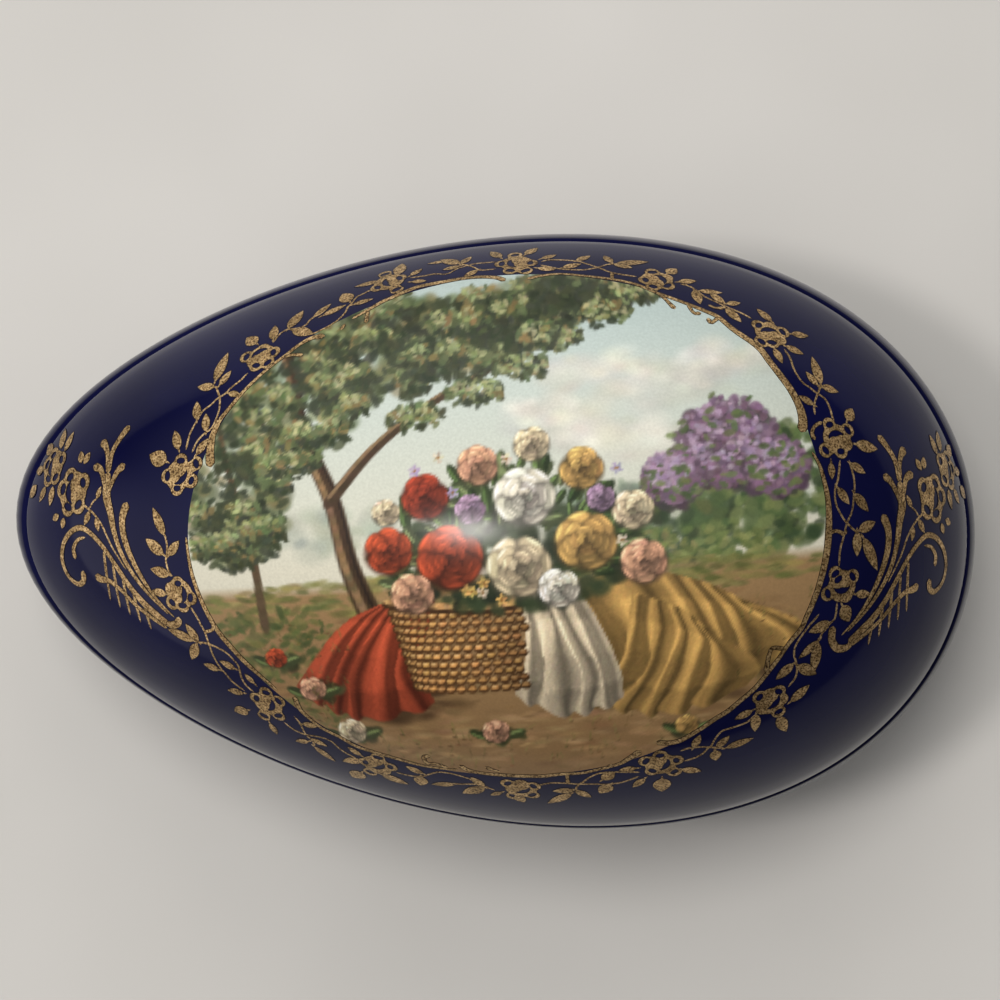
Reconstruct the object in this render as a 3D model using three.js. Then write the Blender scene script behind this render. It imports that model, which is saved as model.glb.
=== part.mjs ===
// Egg trinket box of glazed porcelain, lying on its side: a hollow base on a low oval foot, and a
// hollow lid that lifts off. Millimetres, +Z up, +X towards the blunt end. The origin is under the
// middle of the egg, on the surface that the foot stands on.
import * as THREE from 'three';

// The egg as a whole
const eggLength = 150;
const eggWidth = 92.5;
const bluntness = 0.19;
const seamAboveAxis = 10;

// The porcelain walls, and the collar on the base that keeps the lid in place. The collar stands
// above the seam, inside the lid, and its root runs out into the wall below the seam.
const lidWall = 3.5;
const baseWall = 4;
const collarWall = 2;
const collarHeight = 3;
const collarRoot = 9;
const collarChamfer = 0.5;

// The fit between lid and base, and the rounding of their rims
const collarClearance = 0.5;
const seatGap = 0.3;
const lidRimRadius = 1.4;
const baseRimRadius = 0.9;

// The oval foot, unglazed on its narrow land, with a shallow recess inside it
const footLength = 68;
const footWidth = 36;
const footTowardsBluntEnd = 11;
const footHeight = 1.5;
const footLand = 3;
const footRecess = 1.2;
const recessDraft = 0.4;

// How finely the faces follow the curves
const facesAround = 72;
const lidDomeBands = 12;
const lidHollowBands = 8;
const baseSideBands = 2;
const baseFlankBands = 5;
const baseBellyBands = 4;
const baseHollowBands = 8;
const rimBands = 3;
const bellyAngle = THREE.MathUtils.degToRad(-40);
const rootFindingSteps = 48;

// The outline of the egg from end to end: t runs from -1 at the pointed end to 1 at the blunt end.
function outline(t) {
  return Math.sqrt(Math.max(0, 1 - t * t)) * (1 + bluntness * t);
}

// Where that outline is widest, and how wide it is there.
const widestT = (Math.sqrt(1 + 8 * bluntness * bluntness) - 1) / (4 * bluntness);
const outlinePeak = outline(widestT);

// The egg's outer surface, or a surface parallel to it at a depth inside the wall.
function eggShell(depth) {
  return {
    halfLength: eggLength / 2 - depth,
    radius: eggWidth / 2 - depth,
  };
}

function radiusAt(shell, x) {
  return shell.radius * outline(x / shell.halfLength) / outlinePeak;
}

// A level loop around a shell, at a height above the egg's axis. Every loop has its points at the
// same bearings, seen from above the widest place, so that two loops can be joined face by face.
function levelLoop(shell, height) {
  const centreX = widestT * shell.halfLength;
  const loop = [];
  for (let i = 0; i < facesAround; i += 1) {
    const bearing = 2 * Math.PI * i / facesAround;
    let inside = 0;
    let outside = eggLength;
    for (let step = 0; step < rootFindingSteps; step += 1) {
      const reach = (inside + outside) / 2;
      const x = centreX + reach * Math.cos(bearing);
      const y = reach * Math.sin(bearing);
      const within = Math.abs(x) < shell.halfLength && Math.hypot(y, height) < radiusAt(shell, x);
      if (within) {
        inside = reach;
      } else {
        outside = reach;
      }
    }
    loop.push(new THREE.Vector3(
      centreX + inside * Math.cos(bearing),
      inside * Math.sin(bearing),
      height,
    ));
  }
  return loop;
}

// Level loops from one height to another, evenly spaced by the angle at which they stand around
// the egg's axis. The first one is left out where the loop before this run is already there.
function levelLoops(shell, fromHeight, toHeight, bands, skipFirst) {
  const fromAngle = Math.asin(fromHeight / shell.radius);
  const toAngle = Math.asin(toHeight / shell.radius);
  const loops = [];
  for (let band = skipFirst ? 1 : 0; band <= bands; band += 1) {
    const angle = THREE.MathUtils.lerp(fromAngle, toAngle, band / bands);
    loops.push(levelLoop(shell, shell.radius * Math.sin(angle)));
  }
  return loops;
}

// The point above or below the widest place, where the loops close to a pole.
function pole(shell, height) {
  return [new THREE.Vector3(widestT * shell.halfLength, 0, height)];
}

// A quarter round of loops that turns the outer wall into a flat rim. It starts on the wall, one
// radius away from the rim's height, and ends on the rim. side is 1 for a rim that faces down.
function roundedRim(rimHeight, rimRadius, side) {
  const loops = [];
  for (let band = 0; band <= rimBands; band += 1) {
    const turn = Math.PI / 2 * band / rimBands;
    const depth = rimRadius * (1 - Math.cos(turn));
    const height = rimHeight + side * rimRadius * (1 - Math.sin(turn));
    loops.push(levelLoop(eggShell(depth), height));
  }
  return loops;
}

// An oval loop of the foot, drawn in by an inset.
function footLoop(inset, heightAt) {
  const loop = [];
  for (let i = 0; i < facesAround; i += 1) {
    const bearing = 2 * Math.PI * i / facesAround;
    const x = footTowardsBluntEnd + (footLength / 2 - inset) * Math.cos(bearing);
    const y = (footWidth / 2 - inset) * Math.sin(bearing);
    loop.push(new THREE.Vector3(x, y, heightAt(x, y)));
  }
  return loop;
}

// The height of the egg's underside at a place in plan, measured from the axis.
function underside(shell, x, y) {
  const radius = radiusAt(shell, x);
  return -Math.sqrt(Math.max(0, radius * radius - y * y));
}

// Loops that run from a level loop on the belly to where the foot meets it.
function bellyLoops(shell, start, end) {
  const loops = [];
  for (let band = 1; band <= baseBellyBands; band += 1) {
    const share = band / baseBellyBands;
    loops.push(start.map((from, i) => {
      const x = THREE.MathUtils.lerp(from.x, end[i].x, share);
      const y = THREE.MathUtils.lerp(from.y, end[i].y, share);
      return new THREE.Vector3(x, y, underside(shell, x, y));
    }));
  }
  return loops;
}

// Joins loops into one closed surface. The first and the last loop are poles of a single point.
function closedSurface(loops) {
  const positions = [];
  const starts = [];
  for (const loop of loops) {
    starts.push(positions.length / 3);
    for (const point of loop) {
      positions.push(point.x, point.y, point.z);
    }
  }
  const faces = [];
  for (let level = 0; level + 1 < loops.length; level += 1) {
    const here = starts[level];
    const next = starts[level + 1];
    for (let i = 0; i < facesAround; i += 1) {
      const j = (i + 1) % facesAround;
      if (loops[level].length === 1) {
        faces.push(here, next + i, next + j);
      } else if (loops[level + 1].length === 1) {
        faces.push(here + i, next, here + j);
      } else {
        faces.push(here + i, next + i, next + j);
        faces.push(here + i, next + j, here + j);
      }
    }
  }
  const geometry = new THREE.BufferGeometry();
  geometry.setAttribute('position', new THREE.Float32BufferAttribute(positions, 3));
  geometry.setIndex(faces);
  geometry.computeVertexNormals();
  return geometry;
}

const outer = eggShell(0);
const lidInside = eggShell(lidWall);
const baseInside = eggShell(baseWall);
const collarOutside = eggShell(lidWall + collarClearance);
const collarInside = eggShell(lidWall + collarClearance + collarWall);

// The foot's plane lies a foot's height below the lowest place where the foot meets the belly.
const footJoint = footLoop(0, (x, y) => underside(outer, x, y));
const footPlane = Math.min(...footJoint.map((point) => point.z)) - footHeight;
const recessHeight = footPlane + footRecess;
const floorHeight = recessHeight + baseWall;
const lidSeat = seamAboveAxis + seatGap;

// The lid: its dome from the top down, the rounded rim, the flat seat, and the hollow up to the top.
function lidGeometry() {
  const rim = roundedRim(lidSeat, lidRimRadius, 1);
  const dome = levelLoops(outer, outer.radius, lidSeat + lidRimRadius, lidDomeBands, true);
  const hollow = levelLoops(lidInside, lidSeat, lidInside.radius, lidHollowBands, false);
  return closedSurface([
    pole(outer, outer.radius),
    ...dome.slice(0, -1),
    ...rim,
    ...hollow.slice(0, -1),
    pole(lidInside, lidInside.radius),
  ]);
}

// The base: the hollow from its flat floor up, the collar that stands inside the lid, the seat for
// the lid, the rounded rim, the side down to where the egg is widest, the flank and the belly down
// to the foot, and the recess inside the foot.
function baseGeometry() {
  const collarTop = seamAboveAxis + collarHeight;
  const collarEdge = collarTop - collarChamfer;
  const collarTopOutside = eggShell(lidWall + collarClearance + collarChamfer);
  const collarTopInside = eggShell(lidWall + collarClearance + collarWall - collarChamfer);
  const rootHeight = seamAboveAxis - collarRoot;
  const rim = roundedRim(seamAboveAxis, baseRimRadius, -1).reverse();
  const bellyHeight = outer.radius * Math.sin(bellyAngle);
  const side = levelLoops(outer, seamAboveAxis - baseRimRadius, 0, baseSideBands, true);
  const flank = levelLoops(outer, 0, bellyHeight, baseFlankBands, true);
  const bellyStart = flank[flank.length - 1];
  return closedSurface([
    pole(baseInside, floorHeight),
    ...levelLoops(baseInside, floorHeight, rootHeight, baseHollowBands, false),
    levelLoop(collarInside, seamAboveAxis),
    levelLoop(collarInside, collarEdge),
    levelLoop(collarTopInside, collarTop),
    levelLoop(collarTopOutside, collarTop),
    levelLoop(collarOutside, collarEdge),
    levelLoop(collarOutside, seamAboveAxis),
    ...rim,
    ...side,
    ...flank,
    ...bellyLoops(outer, bellyStart, footJoint),
    footLoop(0, () => footPlane),
    footLoop(footLand, () => footPlane),
    footLoop(footLand + recessDraft, () => recessHeight),
    pole(outer, recessHeight),
  ]);
}

const cobaltGlaze = new THREE.MeshStandardMaterial({ color: 0x14143c, roughness: 0.1, metalness: 0 });

const lid = new THREE.Mesh(lidGeometry(), cobaltGlaze);
lid.name = 'lid';

const base = new THREE.Mesh(baseGeometry(), cobaltGlaze.clone());
base.name = 'base';

const eggBox = new THREE.Group();
eggBox.add(lid, base);
eggBox.position.z = -footPlane;

export default eggBox;
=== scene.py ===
# %% [markdown]
# # An egg box in cobalt blue porcelain
#
# The box is a porcelain egg that lies on its side, about 150 mm long. Its upper part lifts off as a
# lid. The lid has a large painted oval, framed by a fine gold line and a gold garland of roses, on a
# glossy cobalt blue glaze. The base is plain blue outside and white inside.
#
# The lesson goes from the egg's formula to the base, the lid, the painting on it and the gilding,
# and ends with the light. Everything is in metres, in the frame of the model that is loaded first.

# %% The frame
import math

import bmesh
import bpy
import numpy as np
from mathutils import Matrix, Vector
from mathutils.geometry import delaunay_2d_cdt


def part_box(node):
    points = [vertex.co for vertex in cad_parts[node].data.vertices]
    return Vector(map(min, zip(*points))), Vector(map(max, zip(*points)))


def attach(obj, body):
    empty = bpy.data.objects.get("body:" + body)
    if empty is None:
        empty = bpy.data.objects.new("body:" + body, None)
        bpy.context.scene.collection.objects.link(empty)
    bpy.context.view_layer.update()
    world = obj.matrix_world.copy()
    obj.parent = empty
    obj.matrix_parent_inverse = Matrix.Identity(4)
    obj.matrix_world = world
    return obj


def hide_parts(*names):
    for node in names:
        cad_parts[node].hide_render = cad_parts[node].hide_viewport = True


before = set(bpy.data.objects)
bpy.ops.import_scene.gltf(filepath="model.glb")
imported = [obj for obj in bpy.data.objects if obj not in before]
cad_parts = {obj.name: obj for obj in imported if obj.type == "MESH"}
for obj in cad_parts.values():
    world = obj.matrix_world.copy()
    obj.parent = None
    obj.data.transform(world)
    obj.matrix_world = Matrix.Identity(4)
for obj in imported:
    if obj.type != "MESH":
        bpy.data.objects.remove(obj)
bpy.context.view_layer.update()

# %% [markdown]
# ## The egg's formula
#
# An egg is an oval that is a little fuller towards one end. Here its radius at a place x along its
# length is that of an ellipse times a factor that grows towards the blunt end. With a formula, every
# surface of the box can be worked out: the outside, the insides of the walls and the painted oval.

# %% Sizes of the egg, read from the frame
mm = 0.001
base_low, base_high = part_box("base")
lid_low, lid_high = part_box("lid")
egg_length = base_high.x - base_low.x
egg_width = base_high.y - base_low.y
axis_height = lid_high.z - egg_width / 2
lid_seat = lid_low.z - axis_height
collar_top = base_high.z - axis_height
bluntness = 0.19
root_finding_steps = 40
print("egg %.1f x %.1f mm, axis %.1f mm up" % (egg_length / mm, egg_width / mm, axis_height / mm))


# %% Reading many vectors of a mesh at once
def vectors_of(items, name):
    """The vectors with a name, such as co or normal, of all vertices or faces, one row for each."""
    values = np.empty(len(items) * 3)
    items.foreach_get(name, values)
    return values.reshape(-1, 3)


# %% The egg's radius, its normal and level loops around it
def outline(t):
    """The egg's outline from its pointed end, t = -1, to its blunt end, t = 1."""
    return np.sqrt(np.clip(1 - t * t, 0, None)) * (1 + bluntness * t)


widest_t = (math.sqrt(1 + 8 * bluntness**2) - 1) / (4 * bluntness)


def radius_at(x, depth=0.0):
    """The radius at x of the surface that lies at a depth inside the wall."""
    t = np.clip(x / (egg_length / 2 - depth), -1, 1)
    return (egg_width / 2 - depth) * outline(t) / outline(widest_t)


def is_inside(places):
    """Whether places lie inside the egg's outer surface."""
    from_axis = np.hypot(places[:, 1], places[:, 2] - axis_height)
    return (np.abs(places[:, 0]) < egg_length / 2) & (from_axis < radius_at(places[:, 0]))


def egg_normals(places):
    """Directions that point straight out of the egg at places on its surface."""
    step = 0.01 * mm
    x = places[:, 0]
    slope = (radius_at(x + step) - radius_at(x - step)) / (2 * step)
    from_axis = np.hypot(places[:, 1], places[:, 2] - axis_height)
    normals = np.column_stack([-slope, places[:, 1] / from_axis, (places[:, 2] - axis_height) / from_axis])
    return normals / np.linalg.norm(normals, axis=1, keepdims=True)


def level_loop(bearings, height, depth=0.0):
    """A level loop at a height above the axis: one point at each bearing from the widest place."""
    centre_x = widest_t * (egg_length / 2 - depth)
    inside = np.zeros(len(bearings))
    outside = np.full(len(bearings), egg_length)
    for _ in range(root_finding_steps):
        reach = (inside + outside) / 2
        x = centre_x + reach * np.cos(bearings)
        y = reach * np.sin(bearings)
        within = (np.abs(x) < egg_length / 2 - depth) & (np.hypot(y, height) < radius_at(x, depth))
        inside = np.where(within, reach, inside)
        outside = np.where(within, outside, reach)
    x = centre_x + inside * np.cos(bearings)
    y = inside * np.sin(bearings)
    return np.column_stack([x, y, np.full(len(bearings), axis_height + height)])


def level_loops(bearings, from_height, to_height, bands, depth=0.0):
    """Level loops after the one at from_height, evenly spaced by their angle around the axis."""
    radius = egg_width / 2 - depth
    angles = np.linspace(math.asin(from_height / radius), math.asin(to_height / radius), bands + 1)
    return [level_loop(bearings, radius * math.sin(angle), depth) for angle in angles[1:]]


def rounded_rim(bearings, rim_height, rim_radius, side, bands):
    """A quarter round from the outer wall to a flat rim. side is 1 where the rim faces down."""
    loops = []
    for turn in np.linspace(0, math.pi / 2, bands + 1):
        depth = rim_radius * (1 - math.cos(turn))
        height = rim_height + side * rim_radius * (1 - math.sin(turn))
        loops.append(level_loop(bearings, height, depth))
    return loops


# %% [markdown]
# ## How a shell is drawn out
#
# Both halves are shells: one closed skin that runs down the outside, round the rim and back up the
# inside. By hand, such a skin is made by selecting an open edge loop and extruding it again and
# again, and each new loop is moved to its place. The helper below does that with the extrude
# operator, and takes each loop's place from the egg's formula.

# %% Extruding loop after loop
def select_open_edges():
    """Selects the open edge of the mesh that is being edited."""
    bpy.ops.mesh.select_all(action="DESELECT")
    bpy.ops.mesh.select_mode(type="VERT")
    bpy.ops.mesh.select_non_manifold()


def extrude_through(piece, first_loop, loops):
    """Extrudes the selected edge loop, which lies on first_loop, onto each of the loops in turn."""
    before = first_loop
    for loop in loops:
        bpy.ops.mesh.extrude_edges_indiv()
        mesh = bmesh.from_edit_mesh(piece.data)
        drawn_out = [vertex for vertex in mesh.verts if vertex.select]
        here = np.array([vertex.co for vertex in drawn_out])
        nearest = np.linalg.norm(here[:, None] - before[None], axis=2).argmin(axis=1)
        for vertex, index in zip(drawn_out, nearest):
            vertex.co = loop[index]
        bmesh.update_edit_mesh(piece.data)
        before = loop


def close_to_pole(piece, place):
    """Extrudes the selected edge loop once more and merges it to a single point."""
    bpy.ops.mesh.extrude_edges_indiv()
    bpy.ops.mesh.merge(type="CENTER")
    mesh = bmesh.from_edit_mesh(piece.data)
    for vertex in mesh.verts:
        if vertex.select:
            vertex.co = place
    bmesh.update_edit_mesh(piece.data)


def finish_shell(piece, sharp_angle):
    """Turns the faces outwards and smooths all edges but the sharp ones."""
    bpy.ops.mesh.select_all(action="SELECT")
    bpy.ops.mesh.normals_make_consistent(inside=False)
    bpy.ops.object.mode_set(mode="OBJECT")
    bpy.ops.object.shade_smooth_by_angle(angle=sharp_angle)
    print(piece.name, "has", len(piece.data.polygons), "faces")


# %% [markdown]
# ## The base
#
# The base is a bowl on a low oval foot. A thin collar stands on its rim, inside the lid, and keeps
# the lid in place. It starts as a circle with one point for every loop point, laid on the flat floor
# of the bowl. From there the skin is extruded up the inside, over the collar and the rim, and down
# the outside to the foot, so that wall, collar and foot are one body, as they are in porcelain.

# %% Sizes of the base
base_wall = 4 * mm
lid_wall = 3.5 * mm
seat_gap = 0.3 * mm
seam = lid_seat - seat_gap
collar_clearance = 0.5 * mm
collar_wall = 2 * mm
collar_round = 0.5 * mm
collar_root = 9 * mm
base_rim_radius = 0.9 * mm
foot_length = 68 * mm
foot_width = 36 * mm
foot_centre_x = 11 * mm
foot_land = 3 * mm
foot_recess = 1.2 * mm
foot_round = 0.5 * mm
foot_fillet = 0.6 * mm
sharp_edge = math.radians(35)
flank_angle = math.radians(40)
round_steps = 5
bowl_bands = 18
side_bands = 5
flank_bands = 12
belly_bands = 10
base_bearings = np.linspace(0, 2 * math.pi, 256, endpoint=False)


# %% The loops of the base, from the floor of the bowl to the middle of the foot
def underside(x, y):
    """The height of the egg's underside at a place in plan."""
    return axis_height - np.sqrt(np.clip(radius_at(x) ** 2 - y**2, 0, None))


def foot_loop(inset, height=None):
    """An oval loop of the foot, drawn in by an inset. Without a height it lies on the belly."""
    x = foot_centre_x + (foot_length / 2 - inset) * np.cos(base_bearings)
    y = (foot_width / 2 - inset) * np.sin(base_bearings)
    z = underside(x, y) if height is None else np.full(len(x), height)
    return np.column_stack([x, y, z])


def belly_loops(start, end, bands):
    """Loops along the belly from a level loop to where the foot begins."""
    loops = []
    for share in np.linspace(0, 1, bands + 1)[1:]:
        place = start + (end - start) * share
        place[:, 2] = underside(place[:, 0], place[:, 1])
        loops.append(place)
    return loops


def collar_loops():
    """Up the inner side of the collar, round its top and down to the seat for the lid."""
    outer_depth = lid_wall + collar_clearance
    inner_depth = outer_depth + collar_wall
    loops = [level_loop(base_bearings, seam, inner_depth)]
    for turn in np.linspace(0, math.pi / 2, round_steps):
        rise = collar_top - collar_round * (1 - math.sin(turn))
        loops.append(level_loop(base_bearings, rise, inner_depth - collar_round * (1 - math.cos(turn))))
    for turn in np.linspace(math.pi / 2, 0, round_steps):
        rise = collar_top - collar_round * (1 - math.sin(turn))
        loops.append(level_loop(base_bearings, rise, outer_depth + collar_round * (1 - math.cos(turn))))
    loops.append(level_loop(base_bearings, seam, outer_depth))
    return loops


def foot_loops():
    """The fillet from the belly into the foot, the foot's rounded land and the recess inside it."""
    loops = []
    for turn in np.linspace(0, math.pi / 2, round_steps):
        loop = foot_loop(-foot_fillet * (1 - math.sin(turn)))
        loop[:, 2] -= foot_fillet * (1 - math.cos(turn))
        loops.append(loop)
    for turn in np.linspace(0, math.pi / 2, round_steps):
        loops.append(foot_loop(foot_round * (1 - math.cos(turn)), foot_round * (1 - math.sin(turn))))
    for turn in np.linspace(math.pi / 2, 0, round_steps):
        inset = foot_land - foot_round * (1 - math.cos(turn))
        loops.append(foot_loop(inset, foot_round * (1 - math.sin(turn))))
    loops.append(foot_loop(foot_land + foot_round, foot_recess))
    return loops


floor_height = foot_recess + base_wall - axis_height
base_loops = [level_loop(base_bearings, floor_height, base_wall)]
base_loops += level_loops(base_bearings, floor_height, seam - collar_root, bowl_bands, base_wall)
base_loops += collar_loops()
base_loops += rounded_rim(base_bearings, seam, base_rim_radius, -1, round_steps)[::-1]
base_loops += level_loops(base_bearings, seam - base_rim_radius, 0, side_bands)
base_loops += level_loops(base_bearings, 0, -egg_width / 2 * math.sin(flank_angle), flank_bands)
base_loops += belly_loops(base_loops[-1], foot_loop(-foot_fillet), belly_bands)
base_loops += foot_loops()[1:]
print("the base is drawn out through", len(base_loops), "loops")

# %% The base itself
bpy.ops.object.select_all(action="DESELECT")
bpy.ops.mesh.primitive_circle_add(vertices=len(base_bearings), radius=egg_width / 2)
base = bpy.context.object
base.name = "porcelain_base"
for vertex, place in zip(base.data.vertices, base_loops[0]):
    vertex.co = place
first_loop = vectors_of(base.data.vertices, "co")

bpy.ops.object.mode_set(mode="EDIT")
bpy.ops.mesh.select_all(action="SELECT")
extrude_through(base, first_loop, base_loops[1:])
close_to_pole(base, (foot_centre_x, 0, foot_recess))
select_open_edges()
close_to_pole(base, (widest_t * (egg_length / 2 - base_wall), 0, axis_height + floor_height))
finish_shell(base, sharp_edge)

# %% [markdown]
# ## The camera
#
# The photograph looks down on the box from almost straight above, a few degrees towards its blunt
# end and its far side. The camera comes this early because it also serves as a ruler: a place that
# is known as a pixel of the square picture is found on the egg by sending a ray from the camera
# through that pixel until it meets the glaze.

# %% Camera
picture_size = 1000
sensor_width = 36
camera_distance = 600 * mm
lens = 138.25
tilt_to_blunt_end = math.radians(4.5)
tilt_to_far_side = math.radians(2.4)
camera_roll = math.radians(1.47)
camera_target = Vector((1.15 * mm, 4.48 * mm, axis_height))

camera_back = Vector((
    math.sin(tilt_to_blunt_end),
    math.sin(tilt_to_far_side) * math.cos(tilt_to_blunt_end),
    math.cos(tilt_to_far_side) * math.cos(tilt_to_blunt_end),
)).normalized()
camera_right = Vector((-math.sin(camera_roll), math.cos(camera_roll), 0)).cross(camera_back).normalized()
camera_up = camera_back.cross(camera_right)

camera_data = bpy.data.cameras.new("camera")
camera_data.lens = lens
camera_data.sensor_width = sensor_width
camera = bpy.data.objects.new("camera", camera_data)
bpy.context.collection.objects.link(camera)
camera.location = camera_target + camera_distance * camera_back
camera.rotation_euler = Matrix((camera_right, camera_up, camera_back)).transposed().to_euler()
bpy.context.scene.camera = camera
print("camera at", [round(value, 3) for value in camera.location])


# %% Finding places on the egg
def meet_egg(starts, directions, reach):
    """Where rays that start outside the egg first meet its surface. reach ends them inside it."""
    near = np.zeros(len(starts))
    far = np.broadcast_to(reach, len(starts)).astype(float)
    for _ in range(root_finding_steps):
        middle = (near + far) / 2
        inside = is_inside(starts + directions * middle[:, None])
        far = np.where(inside, middle, far)
        near = np.where(inside, near, middle)
    return starts + directions * far[:, None]


def seen_at(pixels):
    """The places on the egg that the camera sees at pixels of the square picture."""
    pixels = np.asarray(pixels, float)
    pixels_per_unit = lens / sensor_width * picture_size
    across = (pixels[:, 0] - picture_size / 2) / pixels_per_unit
    up = (picture_size / 2 - pixels[:, 1]) / pixels_per_unit
    rays = across[:, None] * np.array(camera_right) + up[:, None] * np.array(camera_up)
    rays = rays - np.array(camera_back)
    starts = np.broadcast_to(np.array(camera.location), rays.shape)
    return meet_egg(starts, rays, (camera.location.z - axis_height) / -rays[:, 2])


# %% [markdown]
# ## The lid
#
# The picture on the lid needs many small faces, because its colours are kept in them, and the plain
# blue around it needs few. So the lid starts as a grid that is pressed into the shape of the painted
# oval. Its open edge is then extruded outwards over the blue dome, round the rim, across the seat and
# up the inside, where it closes to a point.

# %% Sizes of the painted oval and the lid
oval_centre = np.array([5.2, 2.2]) * mm
oval_half_length = 47.6 * mm
oval_half_width = 37.3 * mm
oval_turn = math.radians(6)
lid_rim_radius = 1.4 * mm
faces_along = 290
faces_across = 230
edge_waves = 7
dome_bands = 12
hollow_bands = 8
hollow_top_angle = math.radians(86)
frame_strokes = (
    (
        (527, 279), (540, 276), (560, 274), (585, 276), (610, 279), (631, 283), (643, 287),
        (660, 294), (685, 303), (705, 311), (718, 317), (734, 330), (758, 347), (770, 362),
        (780, 375), (789, 387), (796, 399), (801, 411), (803, 423), (801, 432),
    ),
    (
        (812, 452), (819, 464), (824, 480), (828, 500), (829, 520), (828, 542), (825, 563),
        (819, 586), (812, 605), (807, 616), (801, 629), (790, 642), (779, 658), (769, 671),
        (755, 688), (740, 701), (728, 711), (715, 719), (702, 728), (689, 736), (679, 741),
        (668, 743), (656, 742),
    ),
    (
        (641, 751), (628, 759), (619, 764), (600, 769), (581, 773), (562, 774), (544, 776),
        (523, 776), (502, 775), (481, 773), (468, 770), (459, 765),
    ),
    (
        (294, 696), (300, 709), (308, 717), (322, 728), (340, 737), (356, 746), (374, 752),
        (391, 757), (416, 764), (431, 767), (447, 769), (457, 769),
    ),
    (
        (186, 537), (189, 560), (193, 578), (201, 600), (211, 620), (220, 634), (231, 647),
        (243, 660), (257, 673), (268, 682), (277, 690),
    ),
    (
        (211, 467), (210, 455), (212, 438), (215, 430), (220, 420), (228, 410), (237, 399),
        (244, 391), (253, 382), (264, 372), (275, 363), (286, 355), (299, 345), (312, 338),
        (325, 336),
    ),
    (
        (352, 319), (368, 310), (382, 302), (391, 298), (400, 294), (418, 287), (443, 282),
        (467, 278), (485, 277), (498, 278), (505, 281),
    ),
)
edge_between_strokes = (
    (516, 279), (806, 437), (661, 747), (648, 751), (288, 701), (188, 520), (190, 502), (197, 485),
    (203, 468), (325, 330), (338, 322),
)


def oval_to_plan(along, across):
    """From the oval's own coordinates, along and across it, to the egg's x and y."""
    x = oval_centre[0] + along * math.cos(oval_turn) - across * math.sin(oval_turn)
    y = oval_centre[1] + along * math.sin(oval_turn) + across * math.cos(oval_turn)
    return x, y


def plan_to_oval(x, y):
    """From the egg's x and y to the oval's own coordinates."""
    x = x - oval_centre[0]
    y = y - oval_centre[1]
    along = x * math.cos(oval_turn) + y * math.sin(oval_turn)
    across = y * math.cos(oval_turn) - x * math.sin(oval_turn)
    return along, across


def top_side(x, y):
    """The height of the egg's upper side at a place in plan."""
    return axis_height + np.sqrt(np.clip(radius_at(x) ** 2 - y**2, 0, None))


def oval_polar(along, across):
    """The bearing of places in the oval, and how far out they are: 1 on the plain oval."""
    u = along / oval_half_length
    v = across / oval_half_width
    return np.arctan2(v, u), np.hypot(u, v)


def waves(bearings):
    """The slow waves around the oval that a smooth edge is made of."""
    angles = bearings[:, None] * np.arange(1, edge_waves + 1)
    return np.hstack([np.ones((len(bearings), 1)), np.cos(angles), np.sin(angles)])


# %% The edge of the picture, a slightly wavy oval
edge_pixels = list(edge_between_strokes)
for pixels in frame_strokes:
    edge_pixels.extend(pixels[1:-1])
edge_places = seen_at(edge_pixels)
edge_bearings, edge_reaches = oval_polar(*plan_to_oval(edge_places[:, 0], edge_places[:, 1]))
edge_fit = np.linalg.lstsq(waves(edge_bearings), edge_reaches, rcond=None)[0]
print("the edge strays from a plain oval by %.1f %%" % (100 * np.abs(edge_reaches - 1).max()))


# %% The lid's start: a grid pressed into an oval
bpy.ops.object.select_all(action="DESELECT")
bpy.ops.mesh.primitive_grid_add(x_subdivisions=faces_along, y_subdivisions=faces_across, size=2)
lid = bpy.context.object
lid.name = "porcelain_lid"
square = vectors_of(lid.data.vertices, "co")
round_u = square[:, 0] * np.sqrt(1 - square[:, 1] ** 2 / 2)
round_v = square[:, 1] * np.sqrt(1 - square[:, 0] ** 2 / 2)
edge_reach = waves(np.arctan2(round_v, round_u)) @ edge_fit
swell = 1 + (edge_reach - 1) * (round_u**2 + round_v**2)
grid_x, grid_y = oval_to_plan(round_u * swell * oval_half_length, round_v * swell * oval_half_width)
pressed = np.column_stack([grid_x, grid_y, top_side(grid_x, grid_y)])
lid.data.vertices.foreach_set("co", pressed.ravel())
on_border = np.abs(square[:, :2]).max(axis=1) > 1 - 0.5 / faces_along
border = pressed[on_border]
print("the painted oval has", len(lid.data.polygons), "faces")


# %% The loops of the lid, from the painted oval outwards
def dome_loops(start, end, bands):
    """Loops over the dome, finest next to the oval. They share out each path by its length."""
    shares = np.linspace(0, 1, 81)[:, None, None]
    paths = start + (end - start) * (1 - (1 - shares) ** 2)
    paths[:, :, 2] = top_side(paths[:, :, 0], paths[:, :, 1])
    paths[-1] = end
    steps = np.linalg.norm(np.diff(paths, axis=0), axis=2)
    lengths = np.vstack([np.zeros(len(start)), np.cumsum(steps, axis=0)])
    wanted = np.linspace(0, 1, bands + 1)[1:] ** 1.5
    loops = np.empty((bands, len(start), 3))
    for index in range(len(start)):
        at = wanted * lengths[-1, index]
        for axis in range(3):
            loops[:, index, axis] = np.interp(at, lengths[:, index], paths[:, index, axis])
    loops[:, :, 2] = top_side(loops[:, :, 0], loops[:, :, 1])
    loops[-1] = end
    return list(loops)


widest_x = widest_t * egg_length / 2
lid_bearings = np.arctan2(border[:, 1], border[:, 0] - widest_x)
lid_rim = rounded_rim(lid_bearings, lid_seat, lid_rim_radius, 1, round_steps)
lid_top_inside = egg_width / 2 - lid_wall
last_height = lid_top_inside * math.sin(hollow_top_angle)
lid_loops = dome_loops(border, lid_rim[0], dome_bands)
lid_loops += lid_rim[1:]
lid_loops += [level_loop(lid_bearings, lid_seat, lid_wall)]
lid_loops += level_loops(lid_bearings, lid_seat, last_height, hollow_bands, lid_wall)

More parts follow.
